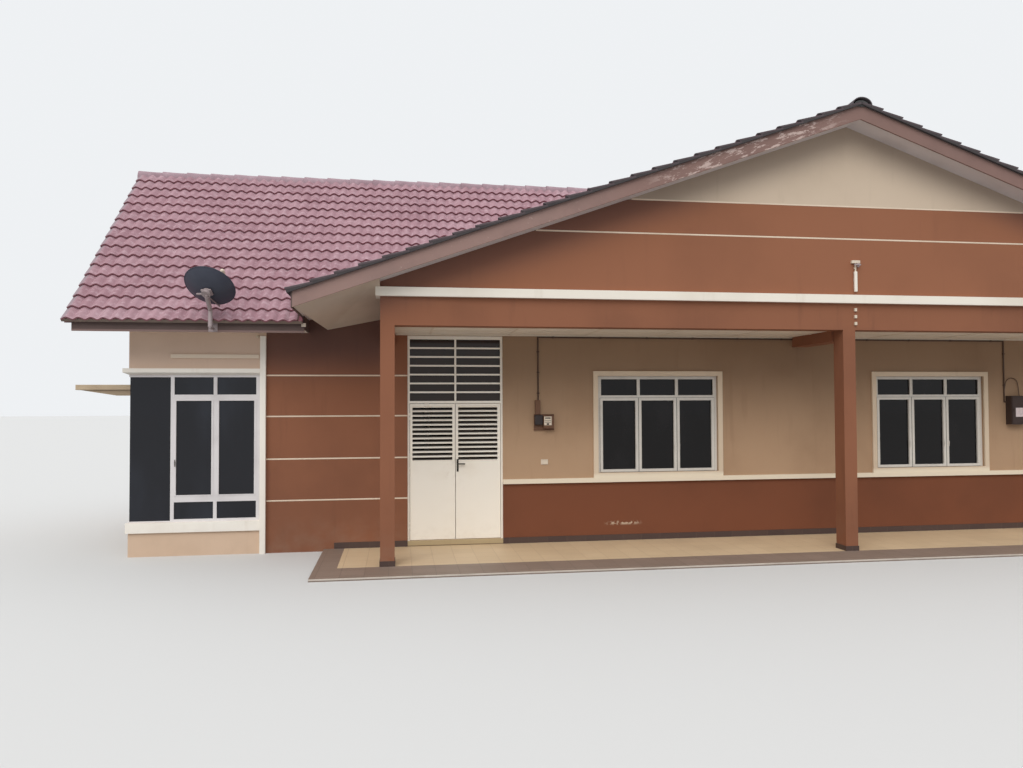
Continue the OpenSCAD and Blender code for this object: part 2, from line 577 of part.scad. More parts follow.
module wall_fittings() color([0.86, 0.84, 0.78]) place() {
    on_wall(-meter_x + 5, 1238, 110, 77, 14);
    block(bracket_x - 60, bracket_x + 66, -40, 0, bracket_z - 20, bracket_z + 20);
    rod([bracket_x, -22, bracket_z - 390], [bracket_x, -22, bracket_z - 15], 12);
    for (z = [-350, -100]) block(bracket_x - 16, bracket_x + 16, -24, 0, bracket_z + z, bracket_z + z + 20);
    for (z = [70, 170, 270]) block(bracket_x - 22, bracket_x + 12, -30, 0, beam_low + z, beam_low + z + 45);
    block(-main_half - 20, -main_half + 40, wing_eave_y + 5, wing_eave_y + 30, eave_low + 83, eave_low + 133);
}

ground_floor();
porch_floor();
porch_border();
striped_wall_left();
striped_wall_right();
porch_wall();
door_heads();
bay_wall_left();
bay_wall_right();
side_wall_left();
side_wall_right();
rear_wall();
rear_gable();
gable_wall_lower();
gable_wall_upper();
front_beam();
white_band();
cross_beams();
ceilings();
columns();
main_roof_left();
main_roof_right();
wing_roof_left();
wing_roof_right();
ridge_caps();
barge_boards();
main_soffit();
fascias();
bay_trim();
bay_frames();
bay_glass();
plaster_trims();
window_frames();
window_glass();
skirting();
door_frame_left();
door_leaf_left();
door_leaf_right();
door_handle();
door_frame_right();
fixed_leaves();
side_canopies();
dish();
dish_mast();
meter_boxes();
conduit();
wall_fittings();
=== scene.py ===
# %% [markdown]
# ## A rendered bungalow with a wide front gable
# The house is one storey of smooth painted render under concrete tiles. Its plain masonry, frames and
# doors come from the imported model, which is loaded here as a fixed frame. What this file adds is what
# gives such a house its look: real roof tiles, ridge caps, window sashes, paint, dirt and light.
# Everything is in metres, +Z is up and the front faces -Y.

# %% Load the frame
import bpy
import bmesh
import math
from mathutils import Matrix, Vector


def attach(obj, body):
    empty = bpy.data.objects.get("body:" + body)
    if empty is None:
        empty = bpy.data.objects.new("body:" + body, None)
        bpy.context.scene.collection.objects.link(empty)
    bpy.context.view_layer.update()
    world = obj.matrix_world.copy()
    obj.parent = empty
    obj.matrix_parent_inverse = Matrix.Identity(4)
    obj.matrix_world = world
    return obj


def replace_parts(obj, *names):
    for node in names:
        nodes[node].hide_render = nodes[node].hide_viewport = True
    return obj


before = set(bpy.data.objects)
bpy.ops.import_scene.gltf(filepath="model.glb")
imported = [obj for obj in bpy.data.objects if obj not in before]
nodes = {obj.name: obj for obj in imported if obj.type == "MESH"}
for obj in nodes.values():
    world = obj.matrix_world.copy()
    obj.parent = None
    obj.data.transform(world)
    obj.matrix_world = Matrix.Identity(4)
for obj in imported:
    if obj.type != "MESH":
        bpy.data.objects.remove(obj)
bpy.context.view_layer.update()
GROUND = 0.035  # the porch floor stands this high above the ground
MID_Y = 3.145  # the column faces lie this far in front of the middle of the footprint
HOUSE = Matrix.Translation((0, -MID_Y, GROUND))
MIRRORED = HOUSE @ Matrix.Diagonal((-1, 1, 1, 1))
SIDES = ((-1, "left"), (1, "right"))
MAIN_SLOPE = 0.356  # rise over run of the big gable
scene = bpy.context.scene


def at(x, y, z):
    """A place given from the middle column's front face and the porch floor."""
    return HOUSE @ Vector((x, y, z))


def moved(x, y, z=0):
    """The frame of the house, moved to such a place."""
    return HOUSE @ Matrix.Translation((x, y, z))


# %% [markdown]
# ## The camera
# The photograph was taken from in front of the left doors, a little above head height, looking
# slightly to the right and up. The distance and angle were worked out from the columns, the beam and
# the window heads. The lens follows from the focal length in pixels over the picture's width.

# %% Camera at the photograph's viewpoint
FOCAL_PX, PICTURE_PX, SENSOR_MM = 771.0, 1023.0, 36.0
cam_data = bpy.data.cameras.new("camera")
cam_data.sensor_width = SENSOR_MM
cam_data.lens = FOCAL_PX / PICTURE_PX * SENSOR_MM
cam = bpy.data.objects.new("camera", cam_data)
scene.collection.objects.link(cam)
cam.location = at(-6.468, -10.347, 2.145)
turn_right, look_up, roll = 0.145, 0.025, -0.004
cam.rotation_mode = "QUATERNION"
cam.rotation_quaternion = (
    Matrix.Rotation(-turn_right, 4, "Z")
    @ Matrix.Rotation(math.pi / 2 + look_up, 4, "X")
    @ Matrix.Rotation(roll, 4, "Z")
).to_quaternion()
scene.camera = cam
print("camera at", tuple(round(v, 2) for v in cam.location), "lens", round(cam_data.lens, 1), "mm")

# %% [markdown]
# ## Light and floor
# The day is hazy, so light comes from the whole sky and shadows are soft. A hazy sky is brightest
# overhead and dull near the horizon, where trees and houses stand. That is what leaves the wall under
# the porch so much darker at its top than at its foot, so the world's strength follows the height of
# the ray. One broad sun from the front left gives the walls a little direction. The camera, glass and
# metal see a pale backdrop and a pale floor instead.


# %% A helper that mixes by what kind of ray asks
def seen_directly(tree):
    """1 for camera, glossy and transmission rays, 0 for the light that falls on the house."""
    path = tree.nodes.new("ShaderNodeLightPath")
    total = path.outputs["Is Camera Ray"]
    for name in ("Is Glossy Ray", "Is Transmission Ray"):
        largest = tree.nodes.new("ShaderNodeMath")
        largest.operation = "MAXIMUM"
        tree.links.new(total, largest.inputs[0])
        tree.links.new(path.outputs[name], largest.inputs[1])
        total = largest.outputs[0]
    return total


# %% Hazy sky
world = bpy.data.worlds.new("hazy_sky")
scene.world = world
world.use_nodes = True
wt = world.node_tree
wt.nodes.clear()
w_out, w_sky, w_seen, w_ray, w_xyz, w_rise, w_mix = (
    wt.nodes.new("ShaderNode" + kind) for kind in
    ("OutputWorld", "Background", "Background", "TexCoord", "SeparateXYZ", "MapRange", "MixShader"))
w_sky.inputs["Color"].default_value = (0.95, 0.97, 1.0, 1)
w_seen.inputs["Color"].default_value = (0.86, 0.88, 0.90, 1)
HORIZON, ZENITH = 0.38, 1.30
w_rise.inputs["To Min"].default_value = HORIZON
w_rise.inputs["To Max"].default_value = ZENITH
wt.links.new(w_ray.outputs["Generated"], w_xyz.inputs[0])
wt.links.new(w_xyz.outputs["Z"], w_rise.inputs["Value"])
wt.links.new(w_rise.outputs[0], w_sky.inputs["Strength"])
wt.links.new(seen_directly(wt), w_mix.inputs["Fac"])
wt.links.new(w_sky.outputs[0], w_mix.inputs[1])
wt.links.new(w_seen.outputs[0], w_mix.inputs[2])
wt.links.new(w_mix.outputs[0], w_out.inputs["Surface"])
scene.view_settings.view_transform = "Standard"
print("sky from", HORIZON, "to", ZENITH)

# %% Broad sun
sun_data = bpy.data.lights.new("broad_sun", "SUN")
sun_data.energy = 1.50
sun_data.angle = math.radians(50)
sun_data.color = (1.0, 0.97, 0.93)
sun = bpy.data.objects.new("broad_sun", sun_data)
sun.rotation_euler = (math.radians(46), 0, math.radians(-24))
scene.collection.objects.link(sun)
print("one broad sun", sun_data.energy)

# %% Pale floor
bm = bmesh.new()
bmesh.ops.create_grid(bm, x_segments=1, y_segments=1, size=150)
floor_mesh = bpy.data.meshes.new("studio_floor")
bm.to_mesh(floor_mesh)
bm.free()
floor = bpy.data.objects.new("studio_floor", floor_mesh)
scene.collection.objects.link(floor)
floor_mat = bpy.data.materials.new("studio_floor")
floor_mat.use_nodes = True
ft = floor_mat.node_tree
floor_shader = ft.nodes["Principled BSDF"]
floor_shader.inputs["Roughness"].default_value = 0.9
floor_mix = ft.nodes.new("ShaderNodeMix")
floor_mix.data_type = "RGBA"
floor_mix.inputs[6].default_value = (0.33, 0.325, 0.32, 1)
floor_mix.inputs[7].default_value = (0.62, 0.62, 0.61, 1)
ft.links.new(seen_directly(ft), floor_mix.inputs["Factor"])
ft.links.new(floor_mix.outputs[2], floor_shader.inputs["Base Color"])
floor_mesh.materials.append(floor_mat)
print("floor laid")

# %% [markdown]
# ## Paint and plaster
# Painted render is never one flat colour: rain and hands leave soft darker clouds, dust climbs from
# the foot of a wall, and the roller leaves a fine grain. One helper builds such a finish from noise on
# Object coordinates, so the pattern has its real size in metres on every piece. Colours are given as
# the eye reads them on a screen, from 0 to 255, and turned into linear light once here.


# %% Helpers for finishes
def shade(r, g, b):
    def lin(v):
        v = v / 255.0
        return v / 12.92 if v <= 0.04045 else ((v + 0.055) / 1.055) ** 2.4

    return (lin(r), lin(g), lin(b), 1.0)


class Finish:
    """A Principled material with a growing chain of colour layers and one bump."""

    def __init__(self, name, colour, rough=0.7, metal=0.0, specular=0.35):
        self.mat = bpy.data.materials.new(name)
        self.mat.use_nodes = True
        self.t = self.mat.node_tree
        self.bsdf = self.t.nodes["Principled BSDF"]
        self.bsdf.inputs["Roughness"].default_value = rough
        self.bsdf.inputs["Metallic"].default_value = metal
        self.bsdf.inputs["Specular IOR Level"].default_value = specular
        self.bsdf.inputs["Base Color"].default_value = shade(*colour)
        self.place = self.new("TexCoord").outputs["Object"]
        self.colour = colour
        self.height = None

    def new(self, kind, **values):
        n = self.t.nodes.new("ShaderNode" + kind)
        for k, v in values.items():
            setattr(n, k, v)
        return n

    def link(self, a, b):
        self.t.links.new(a, b)
        return b

    def math(self, op, a, b=0.0, c=0.0):
        n = self.new("Math", operation=op)
        for i, v in enumerate((a, b, c)):
            if isinstance(v, (int, float)):
                n.inputs[i].default_value = v
            else:
                self.link(v, n.inputs[i])
        return n.outputs[0]

    def both(self, a, b):
        """1 only where both masks are 1."""
        return self.math("MULTIPLY", a, b)

    def scaled(self, x, y, z):
        m = self.new("Mapping")
        m.inputs["Scale"].default_value = (x, y, z)
        self.link(self.place, m.inputs["Vector"])
        return m.outputs[0]

    def noise(self, size, detail=4.0, rough=0.55, stretch=(1, 1, 1)):
        n = self.new("TexNoise")
        n.inputs["Scale"].default_value = 1.0
        n.inputs["Detail"].default_value = detail
        n.inputs["Roughness"].default_value = rough
        self.link(self.scaled(stretch[0] / size, stretch[1] / size, stretch[2] / size), n.inputs["Vector"])
        return n.outputs["Fac"]

    def ramp(self, value, low, high):
        """0 below low, 1 above high, smooth between. With high under low it falls instead."""
        n = self.new("MapRange", interpolation_type="SMOOTHSTEP", clamp=True)
        flip = high < low
        n.inputs["From Min"].default_value = min(low, high)
        n.inputs["From Max"].default_value = max(low, high)
        n.inputs["To Min"].default_value = 1.0 if flip else 0.0
        n.inputs["To Max"].default_value = 0.0 if flip else 1.0
        self.link(value, n.inputs["Value"])
        return n.outputs[0]

    def axis(self, i):
        n = self.new("SeparateXYZ")
        self.link(self.place, n.inputs[0])
        return n.outputs[i]

    def off_middle(self):
        """How far a point lies to either side of the big gable's ridge."""
        return self.math("ABSOLUTE", self.axis(0))

    def facing(self, i):
        """One part of the direction in which the surface faces."""
        n = self.new("SeparateXYZ")
        self.link(self.new("NewGeometry").outputs["Normal"], n.inputs[0])
        return n.outputs[i]

    def band(self, value, low, high, soft):
        """1 between low and high."""
        rising, falling = self.ramp(value, low - soft, low + soft), self.ramp(value, high + soft, high - soft)
        return self.both(rising, falling)

    def layer(self, mask, colour, amount=1.0):
        """Lays a colour over what is there, where mask is 1."""
        n = self.new("Mix", data_type="RGBA")
        self.link(self.math("MULTIPLY", mask, amount), n.inputs["Factor"])
        for slot, v in ((n.inputs[6], self.colour), (n.inputs[7], colour)):
            if isinstance(v, tuple):
                slot.default_value = shade(*v)
            else:
                self.link(v, slot)
        self.colour = n.outputs[2]
        self.link(self.colour, self.bsdf.inputs["Base Color"])
        return self

    def vary_rough(self, value, low, high):
        n = self.new("MapRange")
        n.inputs["To Min"].default_value = low
        n.inputs["To Max"].default_value = high
        self.link(value, n.inputs["Value"])
        self.link(n.outputs[0], self.bsdf.inputs["Roughness"])
        return self

    def raise_by(self, value, metres):
        """Adds value times a height in metres to the bump."""
        h = self.math("MULTIPLY", value, metres)
        self.height = h if self.height is None else self.math("ADD", self.height, h)
        return self

    def done(self, strength=1.0):
        if self.height is not None:
            b = self.new("Bump")
            b.inputs["Strength"].default_value = strength
            b.inputs["Distance"].default_value = 1.0
            self.link(self.height, b.inputs["Height"])
            self.link(b.outputs[0], self.bsdf.inputs["Normal"])
        return self.mat


def render_paint(name, colour, darker, dust, low_dirt=0.5, rough=0.75):
    f = Finish(name, colour, rough)
    clouds = f.noise(1.7, 5)
    f.layer(f.ramp(clouds, 0.42, 0.72), darker, 0.55)
    streaks = f.noise(0.5, 4, stretch=(3.2, 3.2, 0.35))
    f.layer(f.ramp(streaks, 0.56, 0.78), darker, 0.45)
    # dust and rain splash in the lowest half metre
    near_foot = f.ramp(f.axis(2), 0.65, 0.05)
    f.layer(f.both(near_foot, f.ramp(f.noise(0.25, 5), 0.35, 0.7)), dust, low_dirt)
    f.raise_by(f.noise(0.012, 3), 0.0006).raise_by(f.noise(0.35, 3), 0.0012)
    f.vary_rough(clouds, rough - 0.08, rough + 0.1)
    return f


def simple(name, colour, other, size, rough=0.7, metal=0.0, specular=0.35, grain=0.0003):
    """Two shades in soft patches and a fine grain, for small parts."""
    f = Finish(name, colour, rough, metal, specular)
    patches = f.noise(size, 4)
    f.layer(f.ramp(patches, 0.42, 0.75), other, 0.6)
    f.vary_rough(patches, max(rough - 0.1, 0.05), min(rough + 0.12, 1.0))
    f.raise_by(f.noise(size / 12, 3), grain)
    return f


def dress(names, material):
    for n in names.split():
        nodes[n].data.materials.clear()
        nodes[n].data.materials.append(material)
    print("dressed", names)


# %% [markdown]
# ## Wall paints
# The lower gable, the beam, the columns and the striped walls wear a warm brown. The porch wall is
# cream above a white rail and brown below it, which one material does by height. The bays and the
# unseen sides are a pinkish cream. Painted shade darkens the striped walls under the wing's eaves,
# the front gable under the rakes and the porch wall towards its ceiling.

# %% Brown, cream and white render
BROWN, BROWN_DARK = (144, 93, 67), (120, 78, 58)
CREAM, CREAM_DARK = (186, 154, 124), (164, 132, 104)
PALE, PALE_DARK = (224, 198, 178), (206, 179, 159)
WHITE, WHITE_DARK = (244, 237, 224), (224, 214, 198)
DUST = (150, 128, 110)


def paint_rake_shade(f, amount):
    """Painted shade on the front gable under the rakes, most of it in the lower corners."""
    rake_level = f.math("ADD", f.axis(2), f.math("MULTIPLY", f.off_middle(), MAIN_SLOPE))
    front = f.band(f.axis(1), -0.05 - MID_Y, 0.2 - MID_Y, 0.02)
    f.layer(f.both(front, f.ramp(rake_level, 5.55, 6.20)), (86, 68, 72), amount)


f = render_paint("brown_render", BROWN, BROWN_DARK, DUST, 0.25)
# painted shade: under the wing's eaves the striped walls are painted nearly black, for the deep shade there
eave_shade = f.both(f.ramp(f.axis(2), 2.35, 3.10), f.band(f.axis(1), 1.38 - MID_Y, 1.62 - MID_Y, 0.01))
f.layer(f.both(eave_shade, f.ramp(f.off_middle(), 6.6, 6.8)), (84, 68, 70), 0.6)
# over the white band the gable's brown is made lighter and warmer
lighter_gable = f.both(f.band(f.axis(1), -0.05 - MID_Y, 0.2 - MID_Y, 0.02), f.ramp(f.axis(2), 3.55, 3.65))
f.layer(lighter_gable, (162, 107, 77), 0.4)
# painted shade along the rakes
paint_rake_shade(f, 0.5)
brown = f.done()
f = render_paint("pale_render", PALE, PALE_DARK, DUST, 0.15)
f.layer(f.ramp(f.axis(2), 0.60, 0.45), (212, 182, 150), 0.5)
# the plain strip over the bay's head is made lighter than the wall around it
strip = f.both(f.band(f.axis(2), 2.813 + GROUND, 2.880 + GROUND, 0.002),
               f.ramp(f.axis(1), 1.395 - MID_Y, 1.385 - MID_Y))
f.layer(strip, (236, 220, 200), 1.0)
pale = f.done()
bay_white_paint = render_paint("bay_trim_white", (253, 248, 238), (236, 226, 212), DUST, 0.2, 0.6).done()
white = render_paint("white_render", WHITE, WHITE_DARK, DUST, 0.3, 0.6).done()
f = render_paint("gable_cream", (210, 191, 169), (192, 173, 151), DUST, 0.0)
# painted shade along the rakes
paint_rake_shade(f, 0.35)
gable_cream = f.done()
dress("striped_wall_left striped_wall_right gable_wall_lower front_beam cross_beams columns", brown)
dress("bay_wall_left bay_wall_right side_wall_left side_wall_right rear_wall rear_gable", pale)
dress("white_band", white)
dress("bay_trim", bay_white_paint)
dress("gable_wall_upper", gable_cream)

# %% Porch wall in two colours, with flaked paint near its foot
f = render_paint("porch_wall", CREAM, CREAM_DARK, DUST, 0.0)
height = f.axis(2)
below_rail = f.math("LESS_THAN", height, 0.94 + GROUND)
brown_mix = f.ramp(f.noise(1.3, 5), 0.4, 0.75)
# painted shade: the cream darkens towards the ceiling, where the porch roof shades it
f.layer(f.ramp(height, 1.25, 3.05), (98, 76, 57), 0.45)
f.layer(below_rail, (122, 72, 48))
f.layer(f.both(below_rail, brown_mix), (104, 62, 42), 0.5)
# the paint has flaked under the first window, where the photograph shows a pale patch
near = f.both(f.band(f.axis(0), -3.22, -2.76, 0.10), f.band(height, 0.285, 0.325, 0.025))
flake = f.ramp(f.noise(0.09, 5, 0.7), 0.47, 0.52)
f.layer(f.both(near, flake), (214, 196, 172), 0.9)
dress("porch_wall door_heads", f.done())

# %% Porch trims, yellower than the outer ones
f = render_paint("trim_white", (226, 207, 182), (206, 185, 160), DUST, 0.2, 0.6)
f.layer(f.ramp(f.axis(2), 1.10, 1.04), (240, 228, 206), 0.9)
dress("plaster_trims", f.done())

# %% [markdown]
# ## Floors
# The porch is laid with beige tiles and edged with grey-brown ones. A Brick texture without offset
# draws square tiles with their joints in metres, and the joints sink a little through the bump. It
# works in X and Y only, so the skirting's tiles take X and Z instead.


# %% Floor tiles
def floor_tiles(name, colour, other, joint, size, upright=False):
    f = Finish(name, colour, 0.45)
    b = f.new("TexBrick", offset=0.0, squash=1.0)
    b.inputs["Color1"].default_value = shade(*colour)
    b.inputs["Color2"].default_value = shade(*other)
    b.inputs["Mortar"].default_value = shade(*joint)
    b.inputs["Scale"].default_value = 1.0
    b.inputs["Mortar Size"].default_value = 0.004
    b.inputs["Mortar Smooth"].default_value = 0.2
    b.inputs["Brick Width"].default_value = size
    b.inputs["Row Height"].default_value = size
    if upright:
        flat = f.new("CombineXYZ")
        f.link(f.axis(0), flat.inputs[0])
        f.link(f.axis(2), flat.inputs[1])
        f.link(flat.outputs[0], b.inputs["Vector"])
    else:
        f.link(f.place, b.inputs["Vector"])
    f.colour = b.outputs["Color"]
    f.layer(f.ramp(f.noise(0.8, 5), 0.45, 0.75), joint, 0.30)
    f.raise_by(b.outputs["Fac"], -0.001).raise_by(f.noise(0.03, 2), 0.0004)
    if not upright:
        # the upright face of the door's step is painted darker, darkest in a thin line of painted shade at
        # its foot
        riser = f.both(f.math("LESS_THAN", f.facing(1), -0.7), f.math("GREATER_THAN", f.axis(2), GROUND))
        f.layer(riser, (176, 158, 122), 0.8)
        f.layer(f.both(riser, f.ramp(f.axis(2), GROUND + 0.014, GROUND + 0.008)), (104, 86, 66), 0.9)
    f.vary_rough(f.noise(0.6, 4), 0.35, 0.65)
    return f.done()


beige_tiles = floor_tiles("beige_floor_tiles", (212, 188, 154), (207, 183, 149), (192, 168, 138), 0.3)
dark_tiles = floor_tiles("border_floor_tiles", (141, 123, 111), (134, 117, 105), (120, 106, 96), 0.3)
skirt_tiles = floor_tiles("skirting_tiles", (76, 60, 56), (82, 65, 59), (90, 74, 66), 0.3, True)
dress("porch_floor ground_floor", beige_tiles)
dress("porch_border", dark_tiles)
dress("skirting", skirt_tiles)

# %% [markdown]
# ## Helpers for small joinery
# Beads, sashes, clips and plates are short bars and rings. Each starts from one of bmesh's own shapes,
# is placed by a matrix and has its edges eased, because a painted edge is never knife sharp. A ring is
# one face that is inset, opened and pulled to its depth.


# %% Bars, rods and rings
def put(name, bm, materials, body="house", sharp=None):
    """Closes a bmesh into an object that rides on a body. sharp: smooth up to this angle in degrees."""
    bmesh.ops.recalc_face_normals(bm, faces=bm.faces[:])
    me = bpy.data.meshes.new(name)
    bm.to_mesh(me)
    bm.free()
    for m in materials if isinstance(materials, list) else [materials]:
        me.materials.append(m)
    if sharp:
        me.polygons.foreach_set("use_smooth", [True] * len(me.polygons))
        me.set_sharp_from_angle(angle=math.radians(sharp))
    ob = bpy.data.objects.new(name, me)
    scene.collection.objects.link(ob)
    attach(ob, body)
    print("made", name, len(me.polygons), "faces")
    return ob


def faces_of(verts):
    return list({q for v in verts for q in v.link_faces})


def ease(bm, verts, offset):
    edges = list({e for v in verts for e in v.link_edges})
    bmesh.ops.bevel(bm, geom=edges, offset=offset, segments=1, profile=0.5, affect="EDGES",
                     material=-1)


def add_bar(bm, x0, x1, y0, y1, z0, z1, place=HOUSE, soft=0.0015):
    """A bar between two corners."""
    size = Matrix.Diagonal((x1 - x0, y1 - y0, z1 - z0, 1))
    centre = Matrix.Translation(((x0 + x1) / 2, (y0 + y1) / 2, (z0 + z1) / 2))
    made = bmesh.ops.create_cube(bm, size=1.0, matrix=place @ centre @ size)["verts"]
    ease(bm, made, min(soft, (y1 - y0) / 3, (z1 - z0) / 3, (x1 - x0) / 3))


def add_rod(bm, a, b, radius, place=HOUSE, sides=12, end_radius=None):
    a, b = Vector(a), Vector(b)
    turn = (b - a).to_track_quat("Z", "Y").to_matrix().to_4x4()
    bmesh.ops.create_cone(bm, cap_ends=True, segments=sides, radius1=radius, radius2=end_radius or radius,
                          depth=(b - a).length, matrix=place @ Matrix.Translation((a + b) / 2) @ turn)


def add_ball(bm, a, radius, place=HOUSE):
    bmesh.ops.create_icosphere(bm, subdivisions=2, radius=radius, matrix=place @ Matrix.Translation(a))


def add_ring(bm, x0, x1, z0, z1, width, y0, y1, place=HOUSE):
    """A flat frame in X and Z, from y0 to y1."""
    verts = bmesh.ops.create_grid(bm, x_segments=1, y_segments=1, size=0.5)["verts"]
    for v in verts:
        v.co = Vector((x0 + (v.co.x + 0.5) * (x1 - x0), y0, z0 + (v.co.y + 0.5) * (z1 - z0)))
    middle = verts[0].link_faces[0]
    middle.normal_update()  # the inset follows the face's plane, so the plane must be known first
    rim = bmesh.ops.inset_individual(bm, faces=[middle], thickness=width)["faces"]
    bmesh.ops.delete(bm, geom=[middle], context="FACES_ONLY")
    pulled = bmesh.ops.extrude_face_region(bm, geom=rim)["geom"]
    moved = [g for g in pulled if isinstance(g, bmesh.types.BMVert)]
    bmesh.ops.translate(bm, verts=moved, vec=(0, y1 - y0, 0))
    every = list({v for fc in rim if fc.is_valid for v in fc.verts} | set(moved))
    bmesh.ops.transform(bm, matrix=place, verts=every)


# %% [markdown]
# ## Roof tiles
# The tiles are concrete, with two rounded rolls to a tile and courses that overlap like scales. Each
# course starts as one flat grid. Its points rise and fall along the row to make the rolls, and the
# lower edge lies higher than the upper one, so that every course rests on the one below. The courses
# are cut along the valleys with a plane, and one solidify gives the whole sheet its thickness. The
# noses get a darker finish: some dirt gathers there, and the rest is painted shade.

# %% Sizes of the roof
ROLL = 0.1555  # from one roll to the next, counted along the eave in the photograph
ROLL_H, MAIN_ROLL_H = 0.038, 0.018  # the big gable's tiles are flatter, as its rakes show
EAVE_Y, EAVE_Z, RIDGE_Y, RIDGE_Z = 0.72, 3.295, 3.785, 6.125
VERGE_X = 10.93
MAIN_TOP, MAIN_HALF, MAIN_EAVE_Z = 6.3585, 7.86594, 3.55822
BODY, STEP, SKIN = 0.017, 0.034, 0.020  # tile body, a nose's rise over it, and the shell's thickness
NOSE = 0.010  # the added tiles reach this far past the plain rows of the model
wing_run, wing_rise = RIDGE_Y - EAVE_Y, RIDGE_Z - EAVE_Z
wing_slope = wing_rise / wing_run
WING_COURSES, WING_GAUGE, WING_LIP = 16, 0.26385, 0.05
MAIN_COURSES, MAIN_GAUGE = 26, 0.32113
FRONT_Y, REAR_Y = -0.408, 6.895
# where a wing meets the big gable, in plan: from the eave end to the ridge end
valley_low = (MAIN_HALF, EAVE_Y + (MAIN_EAVE_Z - EAVE_Z) / wing_slope)
valley_top = ((MAIN_TOP - RIDGE_Z) / MAIN_SLOPE, RIDGE_Y)
print("valley from", [round(v, 3) for v in valley_low], "to", [round(v, 3) for v in valley_top])


# %% One helper lays the tiles of a roof slope
def lay_tiles(name, corner, along, up, width, courses, gauge, roll, cuts, drop, materials):
    """corner: lowest end of the slope. along and up: directions of a course and of the slope.
    The sheet is cut by the planes in cuts, and pieces whose middle drop() names are taken away."""
    normal = along.cross(up).normalized()
    if normal.z < 0:
        normal = -normal
    bm = bmesh.new()
    cols = math.ceil(width / ROLL) * 8
    for k in range(courses):
        last = 1.0 if k == courses - 1 else 1.10
        for v in bmesh.ops.create_grid(bm, x_segments=cols, y_segments=1, size=0.5)["verts"]:
            u = (v.co.x + 0.5) * width
            s = v.co.y + 0.5
            turn = math.pi * u / ROLL
            wave = 0.45 * abs(math.sin(turn)) + 0.55 * (0.5 - 0.5 * math.cos(2 * turn))
            lift = BODY + STEP * (1 - s) + roll * wave
            v.co = corner + along * u + up * ((k + s * last) * gauge) + normal * lift
    for point, direction in cuts:
        geom = bm.verts[:] + bm.edges[:] + bm.faces[:]
        bmesh.ops.bisect_plane(bm, geom=geom, dist=1e-5, plane_co=point, plane_no=direction)
    gone = [q for q in bm.faces if drop(q.calc_center_median())]
    bmesh.ops.delete(bm, geom=gone, context="FACES")
    bmesh.ops.recalc_face_normals(bm, faces=bm.faces[:])
    if bm.faces and sum(q.normal.dot(normal) for q in bm.faces) < 0:
        bmesh.ops.reverse_faces(bm, faces=bm.faces[:])
    bmesh.ops.solidify(bm, geom=bm.faces[:], thickness=SKIN)
    bmesh.ops.recalc_face_normals(bm, faces=bm.faces[:])
    for q in bm.faces:
        if abs(q.normal.dot(up)) > 0.6:
            q.material_index = 1
    return put(name, bm, materials, sharp=34)


# %% [markdown]
# ## The tiles' colour
# Wet haze leaves the wing's tiles a dusty maroon with a pink bloom in patches. Every tile differs a
# little, so a White Noise texture is fed with the number of the tile, which is its position divided
# by the tile's size and rounded down. Dark growth gathers in patches, and the end tiles at the verges
# have gone grey.


# %% Tile material
def tile_finish(name, colour, dark, bloom, cell, verge_axis, verges, grey, growth=0.5):
    f = Finish(name, colour, 0.8, specular=0.25)
    m = f.new("VectorMath", operation="SNAP")
    f.link(f.place, m.inputs[0])
    m.inputs[1].default_value = cell
    wn = f.new("TexWhiteNoise", noise_dimensions="3D")
    f.link(m.outputs[0], wn.inputs["Vector"])
    f.layer(f.ramp(wn.outputs["Value"], 0.0, 1.0), dark, 0.40)
    f.layer(f.ramp(f.noise(1.8, 5), 0.45, 0.75), dark, growth)
    f.layer(f.ramp(f.noise(0.07, 4), 0.45, 0.72), bloom, 0.55)
    f.layer(f.ramp(f.noise(0.9, 3), 0.5, 0.8), bloom, 0.35)
    place = f.axis(verge_axis)
    for low, high in verges:
        f.layer(f.band(place, low, high, 0.02), grey, 0.8)
    f.raise_by(f.noise(0.012, 3), 0.0010)
    f.vary_rough(f.noise(0.2, 3), 0.7, 0.95)
    return f.done()


wing_grey = (150, 136, 142)
wing_verges = ((-VERGE_X - 0.05, -VERGE_X + 0.07), (VERGE_X - 0.07, VERGE_X + 0.05))
wing_tile = tile_finish("wing_tiles", (166, 131, 139), (138, 101, 110), (192, 165, 172),
                        (2 * ROLL, 0.19386, 20.0), 0, wing_verges, wing_grey, 0.35)
main_verges = ((FRONT_Y - MID_Y - 0.05, FRONT_Y - MID_Y + 0.10),
               (REAR_Y - MID_Y - 0.10, REAR_Y - MID_Y + 0.05))
rake_grey = (74, 74, 76)
main_tile = tile_finish("main_tiles", (158, 124, 131), (128, 95, 102), (186, 160, 166),
                        (0.3025, 2 * ROLL, 20.0), 1, main_verges, rake_grey)
# the noses are darker than the tiles: painted shade, with some dirt
wing_nose = simple("wing_tile_noses", (146, 98, 106), (124, 80, 88), 0.4, 0.9).done()
f = simple("main_tile_noses", (138, 94, 101), (116, 78, 85), 0.4, 0.9)
for low, high in main_verges:
    f.layer(f.band(f.axis(1), low, high, 0.02), rake_grey, 0.9)
main_nose = f.done()
mortar = simple("bedding_mortar", (84, 84, 84), (66, 66, 66), 0.25, 0.9, grain=0.002).done()

# %% [markdown]
# The plain rows of the model stay under the added sheets and show only below the noses, at the gable
# ends and from underneath. There the end faces are bedding mortar and the underside is bare board.

# %% Finish of the plain rows
f = Finish("under_tiles", (140, 92, 99), 0.9)
f.layer(f.ramp(f.noise(0.3, 4), 0.4, 0.7), (116, 74, 82), 0.6)
f.layer(f.math("GREATER_THAN", f.off_middle(), VERGE_X - 0.004), (132, 112, 106), 1.0)
f.layer(f.math("LESS_THAN", f.facing(2), -0.5), (138, 122, 112), 1.0)
f.raise_by(f.noise(0.02, 3), 0.001)
dress("wing_roof_left wing_roof_right", f.done())
rake = simple("rake_tiles", (72, 68, 69), (58, 54, 56), 0.35, 0.9, grain=0.001).done()
dress("main_roof_left main_roof_right", rake)


